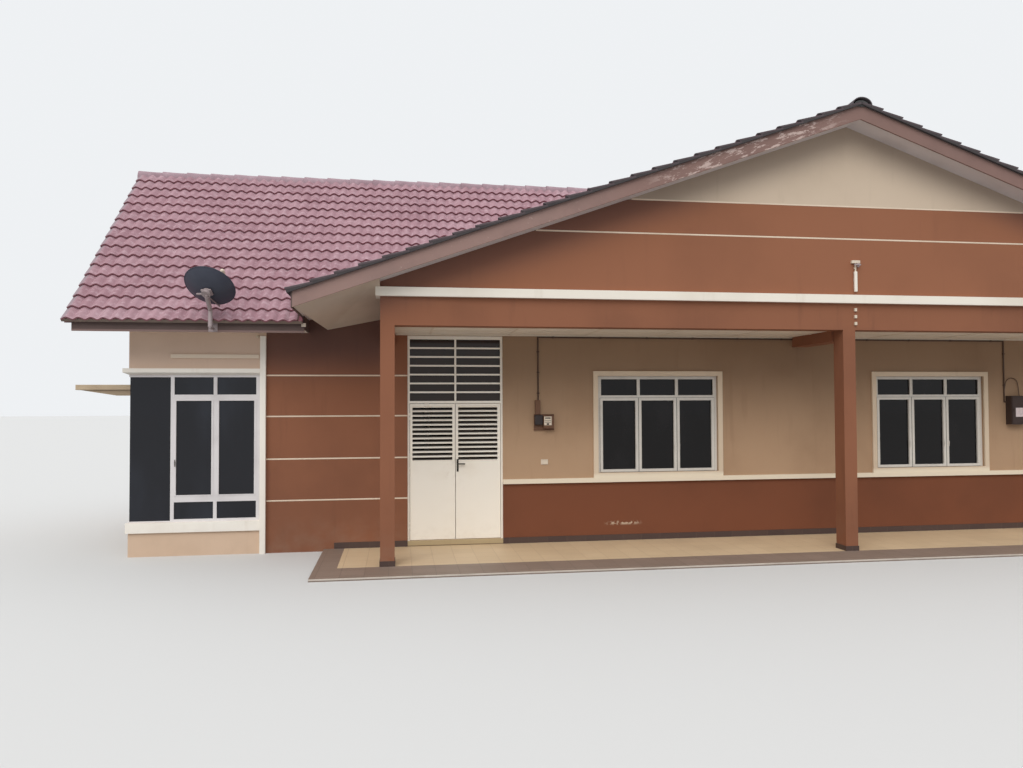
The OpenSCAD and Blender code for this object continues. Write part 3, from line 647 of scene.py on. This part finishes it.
# %% Where a point lies, and where a valley cuts
def valley_side(p):
    """Above 0 where a point lies over the wing, below 0 where it lies over the big gable."""
    x, y = abs(p.x), RIDGE_Y - abs(p.y + MID_Y - RIDGE_Y)
    run = (valley_low[0] - valley_top[0], valley_low[1] - valley_top[1])
    return (y - valley_top[1]) * run[0] - (x - valley_top[0]) * run[1]


def valley_plane(side, back):
    flip = (lambda y: 2 * RIDGE_Y - y) if back else (lambda y: y)
    p0, p1 = (at(side * x, flip(y), 0) for x, y in (valley_low, valley_top))
    return p0, Vector((p1.y - p0.y, p0.x - p1.x, 0)).normalized()


# %% Lay the wings
for side, word in SIDES:
    for back, end in ((0, "front"), (1, "rear")):
        up = Vector((0, (-1 if back else 1) * wing_run, wing_rise)).normalized()
        corner = at(side * VERGE_X, 2 * RIDGE_Y - EAVE_Y if back else EAVE_Y, EAVE_Z) - up * (WING_LIP + NOSE)
        edge = (at(side * MAIN_HALF, 0, 0), Vector((1, 0, 0)))
        lay_tiles("wing_tiles_%s_%s" % (word, end), corner, Vector((-side, 0, 0)), up, VERGE_X - 0.60,
                  WING_COURSES, WING_GAUGE, ROLL_H, [valley_plane(side, back), edge],
                  lambda p: abs(p.x) < MAIN_HALF and valley_side(p) < 0, [wing_tile, wing_nose])

# %% Lay the big gable
main_cos, main_sin = math.cos(math.atan(MAIN_SLOPE)), math.sin(math.atan(MAIN_SLOPE))
for side, word in SIDES:
    up = Vector((-side * main_cos, 0, main_sin))
    for back, end in ((0, "front"), (1, "rear")):
        corner = at(side * MAIN_HALF, REAR_Y if back else FRONT_Y, MAIN_EAVE_Z) - up * NOSE
        middle = (at(0, RIDGE_Y, 0), Vector((0, 1, 0)))
        lay_tiles("main_tiles_%s_%s" % (word, end), corner, Vector((0, -1 if back else 1, 0)), up,
                  RIDGE_Y - FRONT_Y, MAIN_COURSES, MAIN_GAUGE, MAIN_ROLL_H,
                  [valley_plane(side, back), middle], lambda p: valley_side(p) > 0,
                  [main_tile, main_nose])

# %% [markdown]
# ## Ridge caps
# Half-round caps ride over the top courses on mortar. Each is a little wider at its lapped end, so a
# row of them steps like a telescope. A cap starts as a flat grid that is bent over an arch, and the
# row is the same cap laid again and again.


# %% Lay a row of ridge caps
# half width, rise over the roof's corner, number of caps and their gauge
CAPS = {"wing": (0.080, 0.050, 26, 0.4005), "main": (0.118, 0.038, 18, 0.4045)}
CAP_GAP = 0.003


def lay_caps(name, start, along, across, half, height, count, gauge):
    bm = bmesh.new()
    for k in range(count):
        for v in bmesh.ops.create_grid(bm, x_segments=14, y_segments=2, size=0.5)["verts"]:
            turn = math.pi * (v.co.x + 0.5)
            s = v.co.y + 0.5
            grow = CAP_GAP + 0.013 * (1 - s) + (0.006 if s < 0.1 else 0.0)
            v.co = (start + along * ((k + s * 1.13) * gauge) + across * (math.cos(turn) * (half + grow))
                    + Vector((0, 0, math.sin(turn) * (height + grow))))
    bmesh.ops.solidify(bm, geom=bm.faces[:], thickness=0.012)
    # a plug of dark mortar closes each end
    for k in (0.10, count + 0.05):
        turn = Matrix((across, Vector((0, 0, 1)), along)).transposed().to_4x4()
        size = Matrix.Diagonal((half - 0.004, height - 0.006, 1, 1))
        seat = Matrix.Translation(start + along * (k * gauge)) @ turn @ size
        disc = bmesh.ops.create_cone(bm, cap_ends=True, segments=28, radius1=1, radius2=1, depth=0.03,
                                     matrix=seat)["verts"]
        for v in disc:
            v.co.z = max(v.co.z, start.z - 0.012)
        for fc in faces_of(disc):
            fc.material_index = 1
    cap = put(name, bm, [ridge_tile, mortar], sharp=40)
    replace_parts(cap, "ridge_caps")


f = Finish("ridge_tiles", (164, 140, 148), 0.8, specular=0.25)
f.layer(f.ramp(f.noise(0.5, 5), 0.42, 0.7), (138, 112, 120), 0.6)
f.layer(f.ramp(f.noise(0.09, 4), 0.5, 0.75), (192, 170, 176), 0.5)
for y in (FRONT_Y, REAR_Y):
    f.layer(f.band(f.axis(1), y - MID_Y - 0.2, y - MID_Y + 0.2, 0.05), rake_grey, 0.85)
f.raise_by(f.noise(0.012, 3), 0.0010)
ridge_tile = f.done()
wing_cos = math.cos(math.atan(wing_slope))
wing_cap_z = RIDGE_Z + 0.015 / wing_cos
main_cap_z = MAIN_TOP + 0.015 / main_cos
half, over, count, gauge = CAPS["wing"]
for side, word in SIDES:
    start = at(side * (VERGE_X + 0.012), RIDGE_Y, wing_cap_z - wing_slope * half)
    lay_caps("ridge_caps_" + word, start, Vector((-side, 0, 0)), Vector((0, 1, 0)),
             half, wing_slope * half + over, count, gauge)
half, over, count, gauge = CAPS["main"]
lay_caps("ridge_caps_main", at(0, FRONT_Y - 0.004, main_cap_z - MAIN_SLOPE * half), Vector((0, 1, 0)),
         Vector((1, 0, 0)), half, MAIN_SLOPE * half + over, count, gauge)

# %% [markdown]
# ## Mortar in the valleys
# Where a wing's tiles run against the edge of the big roof, the roofer pressed a rounded fillet of
# cement into the joint. It starts as a thin cone with many rings, and a little sine along its length
# keeps it from looking turned on a lathe.


# %% Fillets along the valleys and beside the eaves
def add_fillet(bm, a, b, radius, pieces):
    a, b = Vector(a), Vector(b)
    thick = [radius * (1 + 0.10 * math.sin(2.3 * i)) for i in range(pieces + 1)]
    for i in range(pieces):
        p, q = a.lerp(b, i / pieces), a.lerp(b, (i + 1.06) / pieces)
        add_rod(bm, p, q, thick[i], sides=10, end_radius=thick[i + 1])


bm = bmesh.new()
for side in (-1, 1):
    for back in (0, 1):
        y = (lambda v: 2 * RIDGE_Y - v) if back else (lambda v: v)
        low = (side * (valley_low[0] + 0.012), y(valley_low[1] - 0.01), MAIN_EAVE_Z + 0.004)
        top = (side * (valley_top[0] + 0.05), y(valley_top[1]), RIDGE_Z + 0.012)
        add_fillet(bm, low, top, 0.040, 26)
        add_fillet(bm, (side * 7.885, y(0.690), 3.300), (side * 7.893, y(1.01), 3.575), 0.034, 4)
fillet_paint = simple("valley_mortar", (196, 168, 162), (150, 124, 122), 0.3, 0.9, grain=0.002).done()
put("valley_mortar", bm, fillet_paint, sharp=50)

# %% [markdown]
# ## Barge boards and soffits
# The boards along the big gable were painted brown, deeper near the top. On the left rake near the top
# the paint has come off in long pinkish flakes, as the photograph shows, and elsewhere it is only dusty.
# The flakes come from noise that is stretched along the board and kept between two places on it.

# %% Barge paint
f = Finish("barge_paint", (152, 124, 116), 0.75)
f.layer(f.ramp(f.noise(0.5, 4), 0.45, 0.7), (136, 112, 106), 0.6)
f.layer(f.ramp(f.noise(0.9, 4, stretch=(1, 1, 3)), 0.5, 0.8), (160, 134, 126), 0.4)
along_rake = f.axis(0)
front_face = f.ramp(f.axis(1), -1.0, -3.0)
# nearer the top the brown is deeper
f.layer(f.both(front_face, f.ramp(f.math("ABSOLUTE", along_rake), 4.6, 2.6)), (112, 82, 74), 0.42)
flaky = f.both(front_face, f.band(along_rake, -2.9, -0.45, 0.4))
level = f.place
lean = f.new("Mapping")
lean.inputs["Rotation"].default_value = (0, math.atan(MAIN_SLOPE), 0)
f.link(level, lean.inputs["Vector"])
f.place = lean.outputs[0]
flakes = f.ramp(f.noise(0.09, 6, 0.75, stretch=(0.35, 1, 1.3)), 0.52, 0.57)
f.place = level
f.layer(f.both(flaky, flakes), (206, 184, 176), 0.85)
few = f.both(front_face, f.band(along_rake, -6.5, -2.9, 0.6))
f.layer(f.both(few, f.ramp(f.noise(0.08, 6, 0.75), 0.64, 0.68)), (196, 172, 162), 0.7)
f.raise_by(f.noise(0.03, 3, stretch=(0.3, 1, 1)), 0.0008)
dress("barge_boards", f.done())

# %% Soffit, fascia and ceiling boards
f = simple("soffit_board", (216, 207, 206), (198, 188, 186), 0.8, 0.8)
# the boards meet every 1.2 m along the roof
joint = f.math("PINGPONG", f.axis(1), 0.6)
f.layer(f.ramp(joint, 0.008, 0.003), (150, 136, 126), 0.4)
dress("main_soffit", f.done())
box_paint = simple("eave_box_board", (208, 192, 176), (188, 172, 154), 0.8, 0.8).done()
f = simple("dark_fascia", (100, 82, 78), (82, 66, 62), 0.6, 0.65)
f.layer(f.ramp(f.axis(2), 3.145 + GROUND + 0.03, 3.145 + GROUND + 0.022), (150, 124, 118), 0.7)
dress("fascias", f.done())
dress("ceilings", simple("ceiling_board", (236, 227, 214), (216, 206, 192), 0.9, 0.8).done())

# %% [markdown]
# ## Boxed eave beside the porch
# Beyond the outer columns the boards under the big roof don't run level back to the wall: they come
# down to meet the flat soffit of the wing. The box is a block whose corners are moved to the barge
# board, to the wall and up to the roof, with its edges eased.

# %% Eave boxes
BARGE_LOW = 6.1465  # the boards' lower edges would meet here over the middle
BOX_IN, BOX_OUT, BOX_OUT_REAR = 6.716, 7.795, 7.52
BOX_FRONT, BOX_REAR = -0.337, 1.399
FOOT_OUT, FOOT_IN = 3.248, 3.415  # the lower corners at the wall
for side, word in SIDES:
    bm = bmesh.new()
    verts = bmesh.ops.create_cube(bm, size=1.0)["verts"]
    for v in verts:
        front, outer, low = v.co.y < 0, v.co.x < 0, v.co.z < 0
        x = BOX_IN if not outer else (BOX_OUT if front else BOX_OUT_REAR)
        y = BOX_FRONT if front else BOX_REAR
        z = BARGE_LOW + 0.030 - MAIN_SLOPE * x
        if low:
            z = BARGE_LOW + 0.004 - MAIN_SLOPE * x if front else (FOOT_OUT if outer else FOOT_IN)
        v.co = at(side * x, y, z)
    ease(bm, verts, 0.003)
    put("eave_box_" + word, bm, box_paint)

# %% [markdown]
# ## White lines
# The striped walls and the gable have grooves in the plaster that are filled with white paint. The
# grooves are cut in the model, and a slim bar with eased edges lies in each. The same paint closes
# the front edge of the floor's border, where the tiles end in a line of cement.

# %% Lines in the grooves
STRIPES = (0.726, 1.337, 1.965, 2.570)
line_white = simple("line_white", (232, 214, 192), (204, 184, 160), 0.5, 0.6).done()
bm = bmesh.new()
for place in (HOUSE, MIRRORED):
    for z in STRIPES:
        add_bar(bm, -8.399, -6.341, 1.3985, 1.4079, z - 0.0105, z + 0.0105, place)
for z, half in ((4.515, 4.61), (4.991, 3.25)):
    add_bar(bm, -half, half, -0.0015, 0.0079, z - 0.0105, z + 0.0105)
put("white_lines", bm, line_white)
bm = bmesh.new()
add_bar(bm, -7.569, 7.569, -0.604, -0.594, -0.022, -0.001, soft=0.003)
cement = simple("cement_edge", (206, 196, 184), (172, 160, 148), 0.3, 0.85, grain=0.001).done()
put("cement_edge", bm, cement)

# %% [markdown]
# ## Window glass and frames
# The glass is tinted almost black, and at this distance it shows as dark panes with a faint sheen. The
# frames are powder-coated white and have gone a little grey. A Principled shader with low roughness
# does the glass: what makes it read as glass is the pale world in its reflection.

# %% Glass and frame paint
f = Finish("window_glass", (17, 14, 15), 0.05, specular=0.24)
# painted reflection: soft lighter patches in the dark glass
f.layer(f.ramp(f.noise(0.7, 3, stretch=(1, 1, 0.5)), 0.5, 0.8), (42, 39, 41), 0.6)
# the barred lights over the doors are dustier and browner
over_door = f.both(f.band(f.off_middle(), 4.85, 6.40, 0.02), f.ramp(f.axis(2), 2.15, 2.20))
f.layer(f.both(over_door, f.ramp(f.axis(1), 2.0 - MID_Y, 1.6 - MID_Y)), (60, 51, 46), 0.9)
f.raise_by(f.noise(0.9, 2), 0.0008)
dress("window_glass", f.done())
f = Finish("bay_glass", (30, 31, 37), 0.06, specular=0.30)
# painted reflection: soft lighter, bluer patches in the glass
f.layer(f.ramp(f.noise(0.8, 3, stretch=(1, 1, 0.4)), 0.45, 0.8), (50, 54, 64), 0.6)
f.raise_by(f.noise(1.1, 2), 0.0008)
dress("bay_glass", f.done())
frame_white = simple("frame_white", (222, 218, 210), (204, 200, 192), 0.4, 0.45).done()
bay_white = simple("bay_frame_white", (226, 222, 222), (208, 203, 203), 0.4, 0.45).done()
gasket_and_seam_shade = simple("black_gasket_and_seam_shade", (34, 32, 33), (52, 48, 48), 0.1, 0.6).done()
catch_grey = simple("catch_metal", (120, 116, 110), (90, 86, 82), 0.03, 0.4, 0.5).done()
dress("bay_frames", bay_white)

# %% [markdown]
# ## Sashes
# Each lower light opens, so it has its own sash round the glass, with a black gasket and a small
# catch. The upper lights are fixed and have a slimmer bead. All windows are alike but
# for their size, so one helper fits them out through the matrix of each opening: on the porch, on the
# rear wall and, smaller, on the sides.


# %% Fit out one window
POST, MULLION = 0.09, 0.10  # widths below the rail, where the lights open
HIGH_POST, SLIM = 0.06, 0.043  # widths above it, between the fixed lights
SILL, HEAD = 0.042, 0.049
RAIL_LOW, RAIL_HIGH = 0.375, 0.304  # how far the rail's edges lie below the top


def fit_window(meshes, place, width, lights, top):
    """Adds a window's frame, white, black and metal parts to the four meshes."""
    frame_bm, white_bm, black_bm, metal_bm = meshes
    edge = width / 2 - 0.075
    pane = (2 * edge - 2 * POST - (lights - 1) * MULLION) / lights
    upper = (2 * edge - 2 * HIGH_POST - (lights - 1) * SLIM) / lights
    low, high = 1.055, top - 0.075
    rail_low, rail_high = high - RAIL_LOW, high - RAIL_HIGH
    # the frame itself: posts that step in under the rail, thick mullions below it and slim ones above
    for s in (-1, 1):
        a, b = sorted((s * edge, s * (edge - HIGH_POST)))
        add_bar(frame_bm, a, b, 0.035, 0.095, low, high, place)
        a, b = sorted((s * (edge - 0.058), s * (edge - POST)))
        add_bar(frame_bm, a, b, 0.036, 0.094, low + 0.002, rail_low + 0.002, place)
    for a, b in ((low, low + SILL), (rail_low, rail_high), (high - HEAD, high)):
        add_bar(frame_bm, -edge + 0.058, edge - 0.058, 0.0355, 0.0945, a, b, place)
    for i in range(1, lights):
        x, half = -edge + POST + i * (pane + MULLION) - MULLION / 2, MULLION / 2
        add_bar(frame_bm, x - half, x + half, 0.036, 0.094, low + 0.04, rail_low + 0.002, place)
        x = -edge + HIGH_POST + i * (upper + SLIM) - SLIM / 2
        add_bar(frame_bm, x - SLIM / 2, x + SLIM / 2, 0.036, 0.094, rail_high - 0.002, high - 0.047, place)
    for i in range(lights):
        x = -edge + POST + i * (pane + MULLION)
        a, b = low + SILL, rail_low
        add_ring(white_bm, x - 0.045, x + pane + 0.045, a - 0.036, b + 0.030, 0.058, 0.029, 0.050, place)
        # painted shade: a thin black ring round each sash stands for the shade in the seam between it and its
        # neighbours
        add_ring(black_bm, x - 0.049, x + pane + 0.049, a - 0.040, b + 0.034, 0.010, 0.0335, 0.0375, place)
        add_ring(black_bm, x + 0.010, x + pane - 0.010, a + 0.010, b - 0.010, 0.006, 0.052, 0.0635, place)
        c, d = rail_high, high - HEAD
        u = -edge + HIGH_POST + i * (upper + SLIM)
        add_ring(white_bm, u - 0.008, u + upper + 0.008, c - 0.010, d + 0.010, 0.014, 0.032, 0.052, place)
        add_ring(black_bm, u + 0.004, u + upper - 0.004, c + 0.004, d - 0.004, 0.006, 0.052, 0.0635, place)
        knob = x + (pane + 0.012 if i < lights - 1 else -0.012)
        add_bar(metal_bm, knob - 0.009, knob + 0.009, 0.020, 0.0295, a + 0.30, a + 0.37, place)
        add_bar(metal_bm, knob - 0.006, knob + 0.006, 0.010, 0.021, a + 0.335, a + 0.39, place, 0.003)


meshes = [bmesh.new() for _ in range(4)]
WIDE, NARROW = (2.12, 3, 2.642), (1.32, 2, 2.29)  # width, number of lights and top of a window
PORCH_WALL, REAR_WALL, SIDE_WALL = 1.4, 6.17, 10.305  # the outer faces that the windows sit in
openings = [(x, PORCH_WALL, 0, WIDE) for x in (-2.405, 2.315)]
openings += [(x, REAR_WALL, math.pi, WIDE) for x in (-6.2, -2.36, 2.36, 6.2)]
openings += [(side * SIDE_WALL, 2.78, side * math.pi / 2, NARROW) for side in (-1, 1)]
for x, y, turn, sizes in openings:
    fit_window(meshes, moved(x, y) @ Matrix.Rotation(turn, 4, "Z"), *sizes)
frame_bm, white_bm, black_bm, metal_bm = meshes
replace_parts(put("window_bars", frame_bm, frame_white), "window_frames")
put("window_sashes", white_bm, frame_white)
put("window_gaskets_and_seam_shade", black_bm, gasket_and_seam_shade)
put("window_catches", metal_bm, frame_white)

# %% Sashes of the bays
white_bm, black_bm, metal_bm = bmesh.new(), bmesh.new(), bmesh.new()
for place in (HOUSE, MIRRORED):
    for x0, x1 in ((-9.685, -9.142), (-9.092, -8.542)):
        for a, b in ((x0, x0 + 0.028), (x1 - 0.028, x1)):
            add_bar(white_bm, a, b, 1.399, 1.4192, 0.820, 2.215, place)
        for a, b in ((0.820, 0.836), (2.199, 2.215)):
            add_bar(white_bm, x0 + 0.027, x1 - 0.027, 1.4005, 1.4190, a, b, place)
        add_ring(black_bm, x0 + 0.028, x1 - 0.028, 0.836, 2.199, 0.006, 1.4165, 1.4198, place)
    x = -9.671
    add_bar(metal_bm, x - 0.009, x + 0.009, 1.390, 1.3995, 1.25, 1.32, place)
    add_bar(metal_bm, x - 0.006, x + 0.006, 1.378, 1.391, 1.285, 1.35, place, 0.003)
put("bay_sashes", white_bm, bay_white)
put("bay_gaskets", black_bm, gasket_and_seam_shade)
put("bay_catches", metal_bm, catch_grey)

# %% [markdown]
# ## Steel doors
# The doors are welded from box tube and sheet and painted cream with a brush, so the paint has a faint
# vertical grain and greasy marks round the lever. Beads frame the louvres and the sheet below them.
# What is on a leaf rides with that leaf, and the pair on the right never moves.

# %% Door paint
f = Finish("door_paint", (253, 247, 235), 0.38)
f.layer(f.ramp(f.noise(0.7, 5), 0.48, 0.8), (238, 228, 210), 0.5)
f.layer(f.both(f.ramp(f.axis(2), 0.45, 0.08), f.ramp(f.noise(0.12, 5), 0.45, 0.75)), (206, 188, 166), 0.18)
near_lever = f.both(f.band(f.axis(2), 0.95, 1.45, 0.15), f.band(f.off_middle(), 5.45, 5.80, 0.08))
f.layer(f.both(near_lever, f.ramp(f.noise(0.08, 4), 0.5, 0.75)), (206, 190, 170), 0.2)
# painted shade: behind their front edges the louvre blades are painted near black, for the shade between them
out = f.off_middle()
louvre_shade = f.math("MAXIMUM", f.band(out, 4.968, 5.573, 0.001), f.band(out, 5.661, 6.266, 0.001))
louvre_shade = f.both(louvre_shade, f.band(f.axis(2), 1.281 + GROUND, 2.107 + GROUND, 0.001))
f.layer(f.both(louvre_shade, f.ramp(f.axis(1), 1.460 - MID_Y, 1.463 - MID_Y)), (52, 44, 40), 0.95)
f.raise_by(f.noise(0.3, 3, stretch=(3, 3, 0.4)), 0.0012)
door_paint = f.done()
dress("door_frame_left door_frame_right door_leaf_left door_leaf_right fixed_leaves", door_paint)
f = simple("lever_metal", (46, 42, 40), (84, 76, 68), 0.03, 0.35, 0.5)
dress("door_handle", f.done())

# %% Beads, screws and lock of one leaf
LEAF_FACE = 1.44


def fit_leaf(bm, x0, x1, place):
    """A bead round the louvres, one round the sheet, and a row of screws beside the hinges."""
    add_ring(bm, x0 + 0.026, x1 - 0.030, 1.269, 2.119, 0.012, LEAF_FACE - 0.004, LEAF_FACE + 0.002, place)
    add_ring(bm, x0 + 0.030, x1 - 0.034, 0.139, 1.229, 0.010, LEAF_FACE - 0.003, LEAF_FACE + 0.007, place)
    x = x0 + 0.012
    for hinge in (0.30, 1.13, 1.95):
        for z in (hinge - 0.03, hinge + 0.03):
            add_rod(bm, (x, LEAF_FACE - 0.003, z), (x, LEAF_FACE + 0.001, z), 0.005, place, 10)


LEAVES = ((-6.304, -5.619), (-5.611, -4.926))
for (side, word), (x0, x1) in zip(SIDES, LEAVES):
    bm = bmesh.new()
    fit_leaf(bm, x0, x1, HOUSE)
    put("leaf_beads_" + word, bm, door_paint, "leaf_" + word)
bm = bmesh.new()
for x0, x1 in LEAVES:
    fit_leaf(bm, x0, x1, MIRRORED)
put("fixed_leaf_beads", bm, door_paint)

# %% Beads round the barred lights
bm = bmesh.new()
for place in (HOUSE, MIRRORED):
    add_ring(bm, -6.314, -4.916, 2.176, 3.134, 0.012, 1.436, 1.452, place)
put("light_beads", bm, door_paint)

# %% [markdown]
# ## Ceiling
# The porch ceiling is board on a timber grid. Thin battens cover its joints every 1.2 m, and a bead
# closes it against the wall. The battens end against the beams.

# %% Ceiling battens
bm = bmesh.new()
for place in (HOUSE, MIRRORED):
    for i in range(5):
        x = -6.0 + i * 1.2
        add_bar(bm, x - 0.016, x + 0.016, 0.252, 1.396, 3.194, 3.2004, place)
    add_bar(bm, -6.52, -0.132, 0.80, 0.832, 3.1945, 3.2004, place)
    add_bar(bm, -6.52, -0.132, 1.380, 1.3998, 3.180, 3.2004, place, 0.006)
batten_paint = simple("batten_paint", (228, 216, 200), (208, 196, 178), 0.5, 0.7).done()
put("ceiling_battens", bm, batten_paint)

# %% [markdown]
# ## Meter, cabinet and conduit
# Beside the doors hangs an electricity meter on a brown board, with a black cut-out to its left and a
# pale face that has dark lines. A steel cabinet hangs near the second window, with a plain pale plate
# on its door. Both are fed by brown conduit clipped under the ceiling, and a short rigid loop of it
# enters the cabinet from above.

# %% Small boxes
f = simple("brown_plastic", (110, 78, 58), (84, 58, 44), 0.3, 0.6)
# the cabinet is a greyer brown than the meter's board
f.layer(f.ramp(f.axis(0), 3.60, 3.62), (64, 50, 46), 1.0)
brown_plastic = f.done()
dress("meter_boxes", brown_plastic)
conduit_brown = simple("conduit_brown", (84, 64, 52), (64, 48, 40), 0.3, 0.6).done()
dress("conduit", conduit_brown)
black_plastic = simple("black_plastic", (46, 38, 38), (62, 52, 50), 0.08, 0.5).done()
pale_plastic = simple("pale_plastic", (228, 214, 194), (196, 180, 160), 0.08, 0.5).done()
dress("wall_fittings", pale_plastic)
bm = bmesh.new()
add_bar(bm, -4.266, -4.148, 1.284, 1.2905, 1.806, 1.940, soft=0.003)
put("meter_face", bm, pale_plastic)
bm = bmesh.new()
add_bar(bm, -4.402, -4.276, 1.325, 1.3755, 1.812, 1.962, soft=0.006)
for x0, x1, z0, z1 in ((-4.250, -4.166, 1.908, 1.924), (-4.258, -4.156, 1.872, 1.878),
                       (-4.258, -4.156, 1.848, 1.853), (-4.226, -4.190, 1.812, 1.836)):
    add_bar(bm, x0, x1, 1.2815, 1.2845, z0, z1, soft=0.0008)
put("meter_parts", bm, black_plastic)

# %% Cabinet door, plate and loop
bm = bmesh.new()
add_ring(bm, 3.736, 4.022, 1.766, 2.226, 0.022, 1.262, 1.2705)
add_bar(bm, 3.752, 3.762, 1.252, 1.2635, 1.97, 2.03)
for z in (1.85, 2.14):
    add_rod(bm, (4.027, 1.266, z - 0.025), (4.027, 1.266, z + 0.025), 0.006)
put("cabinet_door", bm, brown_plastic)
bm = bmesh.new()
add_bar(bm, 3.800, 3.998, 1.266, 1.2705, 1.884, 2.036, soft=0.0012)
plate_pale = simple("plate_pale", (226, 212, 212), (196, 182, 184), 0.05, 0.5).done()
put("cabinet_plate", bm, plate_pale)
bm = bmesh.new()
ring = bmesh.ops.create_circle(bm, cap_ends=True, radius=0.006, segments=10,
                               matrix=moved(3.702, 1.378, 2.42))["verts"]
bmesh.ops.spin(bm, geom=faces_of(ring), cent=at(3.822, 1.378, 2.42), axis=(0, 1, 0), angle=math.pi,
               steps=16)
add_rod(bm, (3.942, 1.378, 2.424), (3.942, 1.350, 2.230), 0.006)
add_rod(bm, (3.702, 1.378, 2.424), (3.691, 1.386, 2.32), 0.006)
for x, z in ((3.690, 2.42), (3.690, 2.95), (-4.340, 2.30), (-4.340, 2.62), (-4.340, 2.94)):
    add_bar(bm, x - 0.020, x + 0.020, 1.370, 1.3999, z - 0.008, z + 0.008, soft=0.003)
put("conduit_loop", bm, conduit_brown, sharp=45)

# %% [markdown]
# ## Dish and mast
# The dish is pressed steel with a rolled rim and points up and away, so its back shows. A spun ring
# gives it the rim, a short pale receiver sits at the end of the arm, and a clamp and a bar join the
# bowl to the mast. The mast's foot is bolted through the fascia.

# %% Finishes of the dish
dish_paint = simple("dish_paint", (66, 70, 83), (56, 58, 71), 0.2, 0.5).done()
dress("dish", dish_paint)
mast_metal = simple("mast_metal", (168, 154, 154), (140, 126, 126), 0.1, 0.5, 0.2).done()
dress("dish_mast", mast_metal)

# %% Rim, receiver and clamp
MAST_X = -9.005
DISH = (moved(MAST_X, 0.42, 3.66) @ Matrix.Rotation(math.radians(-14), 4, "Z")
        @ Matrix.Rotation(math.radians(-40), 4, "X"))
RIM_R, RIM_Z = 0.335, 0.111
bm = bmesh.new()
upright = Matrix.Translation((RIM_R, 0, RIM_Z)) @ Matrix.Rotation(math.pi / 2, 4, "X")
bead = bmesh.ops.create_circle(bm, cap_ends=True, radius=0.006, segments=8, matrix=upright)["verts"]
bmesh.ops.spin(bm, geom=faces_of(bead), cent=(0, 0, 0), axis=(0, 0, 1), angle=math.tau, steps=64,
               use_merge=True)
bmesh.ops.delete(bm, geom=[fc for fc in bm.faces if len(fc.verts) > 4], context="FACES")
bmesh.ops.remove_doubles(bm, verts=bm.verts[:], dist=1e-5)
bmesh.ops.transform(bm, matrix=DISH, verts=bm.verts[:])
put("dish_rim", bm, dish_paint, sharp=60)
bm = bmesh.new()
add_rod(bm, (0.060, 0.150, 0.425), (0.040, 0.105, 0.345), 0.030, DISH, 20, 0.034)
add_rod(bm, (0.064, 0.160, 0.442), (0.060, 0.150, 0.425), 0.020, DISH, 20, 0.030)
add_rod(bm, (0.060, 0.150, 0.425), (0.070, 0.020, 0.420), 0.022, DISH, 20, 0.030)
add_ball(bm, (0.070, 0.006, 0.420), 0.031, DISH)
put("dish_receiver", bm, pale_plastic, sharp=45)
bm = bmesh.new()
add_bar(bm, -0.070, 0.070, -0.050, 0.050, -0.034, -0.006, DISH, 0.004)
add_bar(bm, -0.135, -0.020, -0.012, 0.012, -0.060, -0.040, DISH, 0.003)
# a sleeve stiffens the upright, and a tail of the arm hangs under the bowl
add_rod(bm, (MAST_X, 0.585, 3.200), (MAST_X, 0.585, 3.430), 0.031, sides=20, end_radius=0.028)
add_rod(bm, (MAST_X, 0.580, 3.425), (MAST_X, 0.400, 3.588), 0.028, sides=20, end_radius=0.034)
add_ball(bm, (MAST_X, 0.582, 3.428), 0.031)
for z in (3.185, 3.245):
    for x in (-9.040, -8.970):
        add_rod(bm, (x, 0.735, z), (x, 0.742, z), 0.009, sides=6)
put("dish_clamp", bm, mast_metal, sharp=45)

# %% [markdown]
# ## Canopies and small fittings
# The concrete canopies over the side windows were painted cream, and their lower part carries painted
# shade under the slab. A pale knob for a lamp sits high on each bay wall.

# %% Canopies and knobs
f = simple("canopy_concrete", (204, 184, 156), (172, 150, 126), 0.4, 0.85, grain=0.001)
# painted shade: below the slab the canopy is darker
f.layer(f.ramp(f.axis(2), 2.385 + GROUND, 2.375 + GROUND), (150, 130, 110), 0.5)
dress("side_canopies", f.done())
bm = bmesh.new()
for place in (HOUSE, MIRRORED):
    add_rod(bm, (-8.520, 1.401, 3.140), (-8.520, 1.372, 3.140), 0.024, place, 20, 0.020)
    add_ball(bm, (-8.520, 1.368, 3.140), 0.019, place)
put("wall_knobs", bm, pale_plastic, sharp=50)

# %% A stout bar over the gable's bracket rod, and the bolt plates at its head
bm = bmesh.new()
add_bar(bm, 0.078, 0.122, -0.040, -0.008, 3.745, 4.040, soft=0.005)
add_bar(bm, 0.084, 0.116, -0.009, 0.001, 3.90, 3.94)
put("bracket_bar", bm, white)
bm = bmesh.new()
add_bar(bm, 0.118, 0.150, -0.048, -0.038, 4.100, 4.160, soft=0.003)
add_rod(bm, (0.060, -0.058, 4.134), (0.160, -0.058, 4.134), 0.012)
add_rod(bm, (0.134, -0.040, 4.134), (0.134, -0.066, 4.134), 0.016)
put("bracket_bolt", bm, mast_metal, sharp=45)
